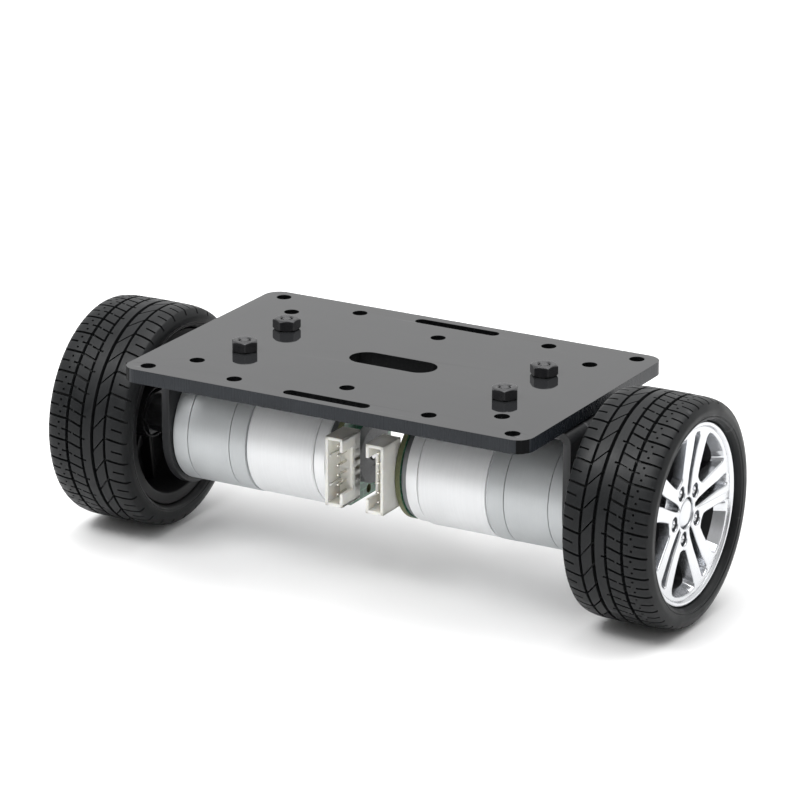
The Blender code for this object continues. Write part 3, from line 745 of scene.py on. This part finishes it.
# ---------------------------------------------------------------------- motor
def build_motor(side, sign):
    body, m = "chassis", to_side(sign)

    def turned(name, prof, mat, slot, cad, r=0.18, seg=144, closed=True):
        mesh = lathe(fillet(prof, r, 3, closed), seg, closed)
        finish_piece("vis_%s_%s" % (side, name), mesh, mat, body,
                     side + "_" + cad, 30.0, m)

    turned("gearbox_front_plate",
           [(5.2, 66.2), (6.0, 66.2), (6.0, 62.95), (16.5, 62.95), (16.5, 58.12),
            (5.2, 58.12)], M["motor"], "motor_silver", "gearbox_front_plate")
    turned("gear_ring",
           [(13.3, 57.98), (16.46, 57.98), (16.46, 44.32), (13.3, 44.32)],
           M["ring"], "gear_ring_silver", "gear_ring")
    turned("gearbox_rear_plate",
           [(2.4, 44.18), (16.5, 44.18), (16.5, 38.95), (2.4, 38.95)],
           M["motor"], "motor_silver", "gearbox_rear_plate", 0.25)
    # the can: rolled edge at its tail and a neck that enters the rear plate
    turned("motor_can",
           [(14.95, 38.9), (15.7, 38.9), (15.7, 38.35), (16.35, 38.35), (16.35, 17.3),
            (16.0, 16.75), (14.95, 16.75)],
           M["can"], "end_cap_bright", "motor_can", 0.3)
    prof = [(2.0, 16.6), (15.95, 16.6), (15.95, 13.15), (15.35, 12.85), (15.35, 11.35),
            (2.0, 11.35)]
    prof = fillet(prof, 0.22, 3)
    mesh = lathe(prof, 144, True, mat_fn=lambda r, x: 1 if x < 12.95 else 0)
    finish_piece("vis_%s_motor_end_cap" % side, mesh, [M["cap"], M["cap_grey"]], body,
                 side + "_motor_end_cap", 30.0, m)
    # bush and encoder magnet
    mesh = lathe(fillet([(3.3, 66.05), (4.9, 66.05), (4.9, 58.5), (3.3, 58.5)], 0.2), 64)
    finish_piece("vis_%s_shaft_bush" % side, mesh, M["bronze"], body,
                 side + "_shaft_bush", 30.0, m)
    prof = fillet([(1.9, 8.7), (8.5, 8.7), (8.5, 5.8), (3.6, 5.8), (3.6, 6.2),
                   (1.9, 6.2)], 0.3, 3)
    mesh = lathe(prof, 96)
    finish_piece("vis_%s_encoder_magnet" % side, mesh, M["magnet"], side + "_rotor",
                 side + "_encoder_magnet", 30.0, m)


# -------------------------------------------------------------------- encoder
def build_encoder(side, sign):
    mx = to_encoder(sign)
    n = 120
    flat = 14.0
    cut = math.sqrt(15.75 ** 2 - flat ** 2)
    loop = [p for p in circle(15.75, n, phase=math.pi / n) if p[1] < flat]
    loop = sorted(loop + [(-cut, flat), (cut, flat)],
                  key=lambda p: math.atan2(p[1], p[0]) % (2 * math.pi))
    loops = [loop, circle(2.2, 32)]
    for s in (1, -1):
        loops.append(circle(1.3, 24, 3.0 * s, 12.0 * s))
    mesh = outline(loops, 1.6, 0.06, 1)
    for p in mesh.polygons:
        p.material_index = 0 if abs(p.normal.z) > 0.9 else 1
    finish_piece("vis_%s_encoder_board" % side, mesh, [M["board"], M["board_edge"]],
                 "chassis", side + "_encoder_board", 25.0,
                 mx @ at(10.3, 0, AX) @ FACE_X)

    # components on the board's free face, x from 9.5 towards the middle
    bm = bmesh.new()
    comp = [("chip", (2.6, -12.3), (3.2, 3.0), 1.0), ("chip", (10.8, -3.5), (2.4, 3.0), 1.0),
            ("ceramic", (-2.6, -12.4), (1.3, 0.8), 0.7),
            ("ceramic", (-4.6, -12.0), (1.3, 0.8), 0.7),
            ("ceramic", (10.4, 1.2), (0.8, 1.3), 0.6), ("ceramic", (11.6, 4.2), (0.8, 1.5), 0.6),
            ("chip", (9.4, 8.2), (1.6, 0.9), 0.55), ("ceramic", (6.4, 11.2), (1.4, 0.8), 0.6),
            ("chip", (-6.6, 10.4), (2.9, 1.6), 0.9)]
    index = {"chip": 0, "ceramic": 1, "solder": 2}
    for kind, (y, z), (w, h), t in comp:
        soft_box(bm, (9.45 - t, y - w / 2, AX + z - h / 2), (9.45, y + w / 2, AX + z + h / 2),
                 0.08, 2, index[kind])
        for s in (-1, 1):
            if kind == "chip":
                for k in (-1, 0, 1):
                    c = z + k * h * 0.32
                    soft_box(bm, (9.3, y + s * (w / 2 + 0.22) - 0.3, AX + c - 0.14),
                             (9.47, y + s * (w / 2 + 0.22) + 0.3, AX + c + 0.14), 0.04, 1, 2)
            else:
                if w > h:
                    soft_box(bm, (9.5 - t * 0.96, y + s * w * 0.42 - 0.16, AX + z - h / 2 - 0.04),
                             (9.47, y + s * w * 0.42 + 0.16, AX + z + h / 2 + 0.04), 0.06, 2, 2)
                else:
                    soft_box(bm, (9.5 - t * 0.96, y - w / 2 - 0.04, AX + z + s * h * 0.42 - 0.16),
                             (9.47, y + w / 2 + 0.04, AX + z + s * h * 0.42 + 0.16), 0.06, 2, 2)
    # two soldered motor tabs; the solder of the six pins behind the header is made with the header
    # pins
    for y, z in ((8.6, -8.6), (-9.0, 8.8)):
        bmesh.ops.create_uvsphere(bm, u_segments=20, v_segments=10, radius=1.25 * MM,
                                  matrix=at(9.45, y, AX + z) @ Matrix.Diagonal((0.75, 1, 1, 1)))
    mesh = bm_mesh(bm)
    finish_piece("vis_%s_board_parts" % side, mesh, [M["chip"], M["ceramic"], M["solder"]],
                 "chassis", (), 30.0, mx)
    # solder domes get their own material by position
    for p in mesh.polygons:
        c = p.center
        if p.area < 4e-7 and len(p.vertices) in (3, 4):
            yy, zz = c.y / MM, (c.z / MM - AX) * sign
            for y, z in ((8.6, -8.6), (-9.0, 8.8)):
                if math.hypot(yy - y, zz - z) < 1.3:
                    p.material_index = 2

    # header housing: floor block, board side wall, ends, and the two hooks of
    # the slotted wall
    x0, x1, y0, y1, z0, z1 = 3.7, 9.35, -22.0, -12.0, -9.2, 11.2
    if sign < 0:
        z0, z1 = -z1, -z0
    zc = (z0 + z1) / 2
    bm = bmesh.new()

    def b(lo, hi, bev=0.18):
        soft_box(bm, (lo[0], lo[1], lo[2] + AX), (hi[0], hi[1], hi[2] + AX), bev, 3)

    b((x0, -15.2, z0), (x1, y1, z1), 0.25)
    b((x1 - 0.95, y0, z0), (x1, y1, z1))
    b((x0, y0, z1 - 0.95), (x1, y1, z1))
    b((x0, y0, z0), (x1, y1, z0 + 0.95))
    b((x0, y0, zc + 6.1), (x0 + 0.95, y1, z1))
    b((x0, y0, z0), (x0 + 0.95, y1, zc - 6.1))
    b((x0, y0 + 5.6, zc - 6.3), (x0 + 0.9, y1, zc + 6.3), 0.15)
    for k in (-1, 1):
        b((x1 - 1.5, y0 + 0.8, zc + k * 4.3 - 0.35), (x1 - 0.6, y1, zc + k * 4.3 + 0.35), 0.12)
    mesh = bm_mesh(bm)
    finish_piece("vis_%s_encoder_header" % side, mesh, M["header"], "chassis",
                 side + "_encoder_header", 32.0, mx)
    bm = bmesh.new()
    for k in range(6):
        z = zc + (k - 2.5) * 2.87
        soft_box(bm, (6.2, -20.0, AX + z - 0.32), (6.84, -12.2, AX + z + 0.32), 0.14, 2)
        soft_box(bm, (6.2, -11.85, AX + z - 0.32), (9.45, -11.25, AX + z + 0.32), 0.12, 2)
        soft_box(bm, (6.2, -12.4, AX + z - 0.32), (6.84, -11.25, AX + z + 0.32), 0.12, 2)
        bmesh.ops.create_cone(bm, cap_ends=False, segments=20, radius1=0.85 * MM,
                              radius2=0.42 * MM, depth=0.6 * MM,
                              matrix=at(9.22, -11.55, AX + z) @ Matrix.Rotation(-math.pi / 2, 4, "Y"))
    mesh = bm_mesh(bm)
    finish_piece("vis_%s_header_pins" % side, mesh, M["pin"], "chassis",
                 side + "_header_pins", 30.0, mx)


# ----------------------------------------------------------------------- tyre
N_PITCH = 31
PITCH = 2 * math.pi / N_PITCH
GROOVES = [(76.1, 0.75, 1.3), (80.2, 1.0, 1.5), (83.9, 0.75, 1.3), (88.8, 0.9, 1.4)]


def tread_path(x):
    """Turn of the tread pattern at x, in degrees, along one lateral groove."""
    xs = [69.5, 70.0, 76.1, 80.2, 83.9, 88.8, 95.0, 96.4]
    ds = [2.4, 2.3, 0.2, 9.2, 8.5, 5.6, 4.7, 4.6]
    return float(np.interp(x, xs, ds))


def tyre_radius(x):
    """Outer profile, rounded at both shoulders."""
    d = abs(x - 82.95)
    if d < 7.6:
        return 32.5 - 0.10 * (d / 7.6) ** 2
    e = (d - 7.6) / (13.45 - 7.6)
    return 32.4 - 1.05 * e ** 2.2 - 2.1 * max(0.0, (e - 0.74) / 0.26) ** 2.4


def tread_depth(x, u, tol=1e-9):
    """Depth of the pattern at x, and u in pitches from the main lateral."""
    depth = 0.0
    for c, w, d in GROOVES:
        if abs(x - c) < w / 2:
            depth = max(depth, d)
    u = (u + 0.5) % 1.0 - 0.5
    pitch_mm = PITCH * 32.5
    full = abs(u) * pitch_mm < 0.32
    half = (0.5 - abs(u)) * pitch_mm < 0.25
    a, b, c, d = [g[0] for g in GROOVES]
    if full:
        if x < a and x > 69.85:
            depth = max(depth, 1.1)
        if a < x < b:
            depth = max(depth, 1.35)
        if c < x < 95.75:
            depth = max(depth, 1.15)
    if half:
        if 70.7 < x < 73.9:
            depth = max(depth, 0.9)
        if 82.6 < x < c or c < x < 86.6:
            depth = max(depth, 0.85)
        if 87.2 < x < 90.6 or 92.2 < x < 95.5:
            depth = max(depth, 0.85)
    # small blind holes in the outer rib
    for q, xq in ((0.25, 91.6), (0.78, 91.4)):
        du = ((u - q + 0.5) % 1.0 - 0.5) * pitch_mm
        if du * du + (x - xq) ** 2 < 0.30 ** 2:
            depth = max(depth, 0.7)
    return depth


def build_tyre(side, sign):
    e = 0.045
    pitch_mm = PITCH * 32.5
    cols = []
    for centre, hw in ((0.0, 0.32), (0.5, 0.25)):
        for s in (-1, 1):
            cols += [centre + s * (hw + e) / pitch_mm, centre + s * (hw - e) / pitch_mm]
    for q in (0.25, 0.78):
        cols += [q + k / pitch_mm for k in (-0.36, -0.27, 0.0, 0.27, 0.36)]
    cols += [0.0, 0.5, 0.14, 0.36, 0.64, 0.88]
    cols = sorted(set(round(c % 1.0, 6) for c in cols))
    xs = []
    for c, w, _ in GROOVES:
        xs += [c - w / 2 - e, c - w / 2 + e, c, c + w / 2 - e, c + w / 2 + e]
    for c in (69.85, 70.7, 73.9, 82.6, 86.6, 87.2, 90.6, 92.2, 95.5, 95.75):
        xs += [c - e, c + e]
    for c in (91.6, 91.4):
        xs += [c + k for k in (-0.36, -0.27, 0.0, 0.27, 0.36)]
    xs += list(np.linspace(69.5, 96.4, 30)) + [69.56, 69.65, 96.25, 96.34]
    xs = sorted(set(round(min(max(x, 69.5), 96.4), 4) for x in xs))
    xs = [x for i, x in enumerate(xs) if i == 0 or x - xs[i - 1] > 0.012]

    # the part of the section that has no tread: outer wall, bead, inside, bead
    wall = [(28.6, 96.40), (27.9, 96.36), (27.55, 96.1), (27.35, 96.22), (26.9, 96.1),
            (26.45, 95.5), (26.12, 94.55), (26.1, 92.75), (24.9, 92.2), (24.7, 91.0),
            (24.8, 90.2), (27.0, 90.8), (29.5, 91.6), (29.6, 90.0), (29.6, 76.0),
            (29.5, 74.3), (27.0, 75.1), (24.8, 75.7), (24.7, 74.9), (24.9, 73.8),
            (26.1, 73.2), (26.12, 71.4), (26.45, 70.3), (26.9, 69.8), (27.35, 69.68),
            (27.55, 69.8), (27.9, 69.54), (28.6, 69.5)]
    rows = [("t", x) for x in xs] + [("w", p) for p in wall]
    ang = []
    for k in range(N_PITCH):
        for c in cols:
            ang.append((k + c, c))
    n = len(ang)
    verts = np.zeros((len(rows), n, 3))
    phase = math.radians(1.9)
    for i, (kind, p) in enumerate(rows):
        if kind == "t":
            x = p
            shift = math.radians(tread_path(x))
            base = tyre_radius(x)
            dep = {c: tread_depth(x, c) for c in cols}
            # the pattern thins out on the shoulders
            fade = 1.0 - 0.35 * max(0.0, (abs(x - 82.95) - 10.5) / 2.9)
            for j, (k, c) in enumerate(ang):
                r = base - dep[c] * fade
                a = k * PITCH + shift + phase
                verts[i, j] = (x, -r * math.cos(a), r * math.sin(a))
        else:
            r, x = p
            shift = math.radians(tread_path(x))
            for j, (k, c) in enumerate(ang):
                a = k * PITCH + shift + phase
                verts[i, j] = (x, -r * math.cos(a), r * math.sin(a))
    verts[:, :, 2] += AX
    verts = verts.reshape(-1, 3) * MM
    faces = []
    m = len(rows)
    for i in range(m):
        i2 = (i + 1) % m
        for j in range(n):
            j2 = (j + 1) % n
            faces.append((i * n + j, i * n + j2, i2 * n + j2, i2 * n + j))
    mesh = mesh_from(verts, faces)
    bm = bmesh.new()
    bm.from_mesh(mesh)
    bmesh.ops.recalc_face_normals(bm, faces=bm.faces)
    bm.to_mesh(mesh)
    bm.free()
    finish_piece("vis_%s_tyre" % side, mesh, M["rubber"], side + "_wheel",
                 side + "_tyre", 32.0, to_side(sign), False)
    mesh = lathe(fillet([(24.8, 89.6), (28.9, 89.6), (28.9, 76.3), (24.8, 76.3)], 0.8), 96)
    finish_piece("vis_%s_tyre_foam" % side, mesh, M["foam"], side + "_wheel",
                 side + "_tyre_foam", 30.0, to_side(sign))


# ------------------------------------------------------------------------ rim
SPOKE_PHASE = 8.4


def round_loop(pts, r, n=4):
    """Round the corners of a closed (u, v) loop."""
    out = []
    m = len(pts)
    for i in range(m):
        p = Vector(pts[i])
        a, b = Vector(pts[i - 1]) - p, Vector(pts[(i + 1) % m]) - p
        ang = a.angle(b)
        if ang > math.radians(165):
            out.append(tuple(p))
            continue
        cut = min(r / math.tan(ang / 2), a.length * 0.45, b.length * 0.45)
        pa, pb = p + a.normalized() * cut, p + b.normalized() * cut
        for k in range(n + 1):
            t = k / n
            out.append(tuple(pa * (1 - t) ** 2 + p * 2 * t * (1 - t) + pb * t * t))
    return out


def polar(mid, shape):
    return [(r * math.cos(mid + math.radians(a)), r * math.sin(mid + math.radians(a)))
            for r, a in shape]


def rim_face(r):
    """Height of the spokes' front face along the axle."""
    if r < 8.0:
        return 92.45
    return 92.45 + 1.35 * ((r - 8.0) / 16.0) ** 1.4


def build_rim(side, sign):
    m, body = to_side(sign), side + "_wheel"
    # barrel: lip, inner slope down to the spokes, bead seats, hollow behind
    prof = [(24.15, 93.7), (24.75, 94.35), (25.25, 94.5), (25.7, 94.42), (25.88, 94.1),
            (25.85, 93.0), (24.35, 92.35), (23.6, 88.8), (23.6, 77.6), (24.3, 73.6),
            (25.85, 72.95), (25.88, 71.5), (25.7, 71.25), (22.9, 71.25), (22.6, 71.6),
            (22.3, 84.0), (22.35, 87.0), (22.6, 90.1), (22.9, 91.6)]
    prof = fillet(prof, 0.35, 3)
    mesh = lathe(prof, 240, True,
                 mat_fn=lambda r, x: 1 if x < 90.2 else 0)
    barrel = mesh

    loops = [circle(24.5, 240), circle(4.35, 64)]
    for k in range(5):
        slit = math.radians(SPOKE_PHASE + 72 * k)
        win = slit + math.radians(36)
        shape = [(11.0, -9.5), (12.5, -12.6), (14.0, -14.6), (16.0, -16.4),
                 (18.0, -17.8), (20.0, -18.6), (21.4, -19.2), (22.7, -18.0),
                 (23.1, -12.0), (23.1, -6.0), (23.1, 0.0), (23.1, 6.0), (23.1, 12.0),
                 (22.7, 18.0), (21.4, 19.2), (20.0, 18.6), (18.0, 17.6), (16.0, 16.2),
                 (14.0, 14.6), (12.5, 12.6), (11.0, 9.5), (10.5, 0.0)]
        loops.append(round_loop(polar(win, shape), 0.9))
        c, s = math.cos(slit), math.sin(slit)
        shape = [(5.3, -0.55), (7.5, -1.0), (12.0, -1.2), (18.0, -1.35), (22.0, -1.75),
                 (22.8, -1.2), (22.9, 0.0), (22.8, 1.2), (22.0, 1.75), (18.0, 1.35),
                 (12.0, 1.2), (7.5, 1.0), (5.3, 0.55)]
        loops.append(round_loop([(u * c - v * s, u * s + v * c) for u, v in shape], 0.4))
        loops.append(circle(1.95, 28, 7.3 * math.cos(win), 7.3 * math.sin(win)))
    t = 8.0
    star = outline(loops, t, 0.45, 3)
    bm = bmesh.new()
    bm.from_mesh(star)
    bmesh.ops.bisect_plane(bm, geom=bm.verts[:] + bm.edges[:] + bm.faces[:],
                           plane_co=(0, 0, (t / 2 - 3.3) * MM), plane_no=(0, 0, 1))
    bm.to_mesh(star)
    bm.free()
    for v in star.vertices:
        y, z = v.co.x / MM, v.co.y / MM
        r, a = math.hypot(y, z), math.atan2(z, y)
        depth = t / 2 - v.co.z / MM              # 0 at the front, t at the back
        d = max(0.0, depth - 0.45) / (t - 0.45)
        front = rim_face(r)
        step = math.radians(72)
        off = (a - math.radians(SPOKE_PHASE) + step / 2) % step - step / 2
        mid = (a - math.radians(SPOKE_PHASE + 36) + step / 2) % step - step / 2
        lug = math.hypot(r * math.cos(mid) - 7.3, r * math.sin(mid))
        if r > 23.8 or r < 5.0 or lug < 2.3:
            pass
        elif abs(off) * r < 2.3:                 # slit walls lean together
            p = r * math.sin(off) * (1 - 0.45 * d)
            r2 = r - 2.0 * d * max(0.0, (r - 16.0) / 6.9)
            a = a - off + math.asin(max(-1.0, min(1.0, p / r2)))
            r = r2
        else:                                    # window walls
            k = max(0.0, min(1.0, (r - 15.0) / 8.4))
            r2 = r - 3.1 * d * k * k * (3 - 2 * k) + 0.9 * d * (1 - k) * (r < 13.0)
            a = a - mid + mid * (1 - 0.20 * d)
            r = r2
        v.co.x, v.co.y = r * math.cos(a) * MM, r * math.sin(a) * MM
        v.co.z = (front - depth) * MM
    star.transform(at(0, 0, AX) @ FACE_X)
    for p in star.polygons:
        c = p.center
        r = math.hypot(c.y, c.z - AX * MM) / MM
        p.material_index = 0 if rim_face(r) - c.x / MM < 3.2 else 1

    # floor behind the lug holes, hub boss with its hexagon pocket
    hub = lathe(fillet([(2.5, 90.2), (4.35, 90.2), (9.6, 90.0), (9.6, 86.6), (7.9, 86.2),
                        (7.6, 78.95), (6.95, 78.95), (6.95, 84.0), (2.5, 84.0)], 0.2, 2),
                96, True, mat_fn=lambda r, x: 1 if x < 88.0 else 0)
    # thin backing behind the spokes, with stiffening ribs on its inner side
    backing = lathe(fillet([(7.2, 87.2), (22.7, 87.2), (22.7, 84.9), (7.2, 86.0)], 0.2, 2),
                    160, True, mat_fn=lambda r, x: 1)
    bm = bmesh.new()
    for k in range(10):
        a = math.radians(SPOKE_PHASE + 36 * k)
        soft = bmesh.new()
        soft_box(soft, (82.2, 7.4, -0.55), (86.6, 22.5, 0.55), 0.2, 2, 1)
        if k % 2:
            soft_box(soft, (83.4, 8.0, -3.2), (86.0, 22.4, -2.5), 0.2, 2, 1)
        soft.transform(at(0, 0, AX) @ Matrix.Rotation(a, 4, "X"))
        part = bm_mesh(soft)
        bm.from_mesh(part)
        bpy.data.meshes.remove(part)
    ribs = bm_mesh(bm)
    mesh = join([barrel, star, hub, backing, ribs])
    finish_piece("vis_%s_wheel_rim" % side, mesh, [M["chrome"], M["rim_black"]], body,
                 side + "_wheel_rim", 34.0, m)

    # five plated bolt heads in their recesses
    meshes = []
    for k in range(5):
        win = math.radians(SPOKE_PHASE + 72 * k + 36)
        y, z = 7.3 * math.cos(win), 7.3 * math.sin(win)
        head = lathe([(0.0, 91.55), (0.45, 91.55), (0.55, 91.75), (0.85, 91.95),
                      (1.05, 91.85), (1.15, 91.5), (1.15, 89.9), (0.0, 89.9)], 24, False,
                     (0, y, AX + z))
        meshes.append(head)
    mesh = join(meshes)
    finish_piece("vis_%s_lug_bolts" % side, mesh, M["chrome"], body, (),
                 35.0, m)
    cap = fillet([(0, 92.35), (2.0, 92.3), (3.4, 92.1), (4.12, 91.6), (4.12, 90.25),
                  (0, 90.25)], 0.35, 4, False)
    finish_piece("vis_%s_hub_cap" % side, lathe(cap, 96, False), M["chrome"], body,
                 side + "_hub_cap", 40.0, m)
    prof = fillet([(0, 88.9), (1.5, 88.9), (1.5, 90.05), (3.4, 90.05), (3.5, 88.3),
                   (1.95, 88.3)], 0.15, 2, False)
    prof += thread(1.95, 78.6, 87.6) + [(1.5, 78.3), (0, 78.3)]
    finish_piece("vis_%s_wheel_screw" % side, lathe(prof, 40, False), M["screw"], body,
                 side + "_wheel_screw", 30.0, m)


# ---------------------------------------------------------------- drive line
def build_drive(side, sign):
    m, body = to_side(sign), side + "_wheel"
    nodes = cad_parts
    # CAD solids whose shape is already right keep their mesh
    for key, mat in (("output_shaft", "shaft"), ("rotor_shaft", "shaft"),
                     ("planet_gear_1", "gear"), ("planet_gear_2", "gear"),
                     ("planet_gear_3", "gear"), ("hex_coupling", "coupling"),
                     ("coupling_grub_screw", "screw")):
        ob = nodes["%s_%s" % (side, key)]
        ob.data.materials.clear()
        ob.data.materials.append(M[mat])


build_deck()
build_fasteners()
for side_name, side_sign in SIDES:
    build_bracket(side_name, side_sign)
    build_motor(side_name, side_sign)
    build_encoder(side_name, side_sign)
    build_tyre(side_name, side_sign)
    build_rim(side_name, side_sign)
    build_drive(side_name, side_sign)


# --------------------------------------------------------- floor, light, camera
def build_stage():
    n = Nodes("stage_floor")
    cloud = n.noise(3.0, 3.0, 0.5)
    col = n.ramp(cloud, [(0.3, (0.86, 0.86, 0.86)), (0.7, (0.88, 0.88, 0.88))])
    mat = n.done(col, n.span(cloud, 0.38, 0.46), None, IOR=1.45)
    bm = bmesh.new()
    bmesh.ops.create_grid(bm, x_segments=2, y_segments=2, size=6.0)
    mesh = bm_mesh(bm)
    mesh.materials.append(mat)
    floor = bpy.data.objects.new("stage_floor", mesh)
    floor.location.z = -0.0003
    C.objects.link(floor)

    world = bpy.data.worlds.new("studio")
    bpy.context.scene.world = world
    world.use_nodes = True
    tree = world.node_tree
    bg = tree.nodes["Background"]
    az = math.radians(29.372)
    coord = tree.nodes.new("ShaderNodeTexCoord")
    dot = tree.nodes.new("ShaderNodeVectorMath")
    dot.operation = "DOT_PRODUCT"
    dot.inputs[1].default_value = Vector((-math.sin(az), math.cos(az), 0.75)).normalized()
    tree.links.new(coord.outputs["Generated"], dot.inputs[0])
    span = tree.nodes.new("ShaderNodeMapRange")
    span.interpolation_type = "SMOOTHSTEP"
    span.inputs["From Min"].default_value = -0.55
    span.inputs["From Max"].default_value = 0.60
    span.inputs["To Min"].default_value = 0.24
    span.inputs["To Max"].default_value = 1.0
    tree.links.new(dot.outputs["Value"], span.inputs["Value"])
    bg.inputs["Color"].default_value = (1.0, 1.0, 1.0, 1.0)
    tree.links.new(span.outputs["Result"], bg.inputs["Strength"])

    def area(name, loc, size, power, target=(0, 0, 0.03)):
        light = bpy.data.lights.new(name, "AREA")
        light.shape = "RECTANGLE"
        light.size, light.size_y = size
        light.energy = power
        ob = bpy.data.objects.new(name, light)
        ob.location = loc
        d = Vector(target) - Vector(loc)
        ob.rotation_euler = d.to_track_quat("-Z", "Y").to_euler()
        C.objects.link(ob)

    area("key", (-0.30, -0.60, 1.00), (0.8, 0.35), 10.0)
    area("fill", (0.9, -0.7, 0.7), (0.9, 0.5), 0.6)
    area("top", (0.1, 0.2, 1.3), (1.2, 1.2), 15.0)


def build_camera():
    cam = bpy.data.cameras.new("camera")
    cam.lens = 4670.87 / 800.0 * 36.0
    cam.sensor_width = 36.0
    cam.clip_start, cam.clip_end = 0.05, 50.0
    ob = bpy.data.objects.new("camera", cam)
    az, el, roll = math.radians(29.372), math.radians(18.673), math.radians(0.258)
    back = Vector((math.sin(az) * math.cos(el), -math.cos(az) * math.cos(el), math.sin(el)))
    right = Vector((math.cos(az), math.sin(az), 0.0))
    up = back.cross(right)
    r2 = math.cos(roll) * right + math.sin(roll) * up
    u2 = -math.sin(roll) * right + math.cos(roll) * up
    rot = Matrix((r2, u2, back)).transposed()
    ob.matrix_world = Matrix.Translation((0.61250, -1.08430, 0.47036)) @ rot.to_4x4()
    C.objects.link(ob)
    bpy.context.scene.camera = ob


build_stage()
build_camera()
bpy.context.scene.view_settings.view_transform = "Standard"
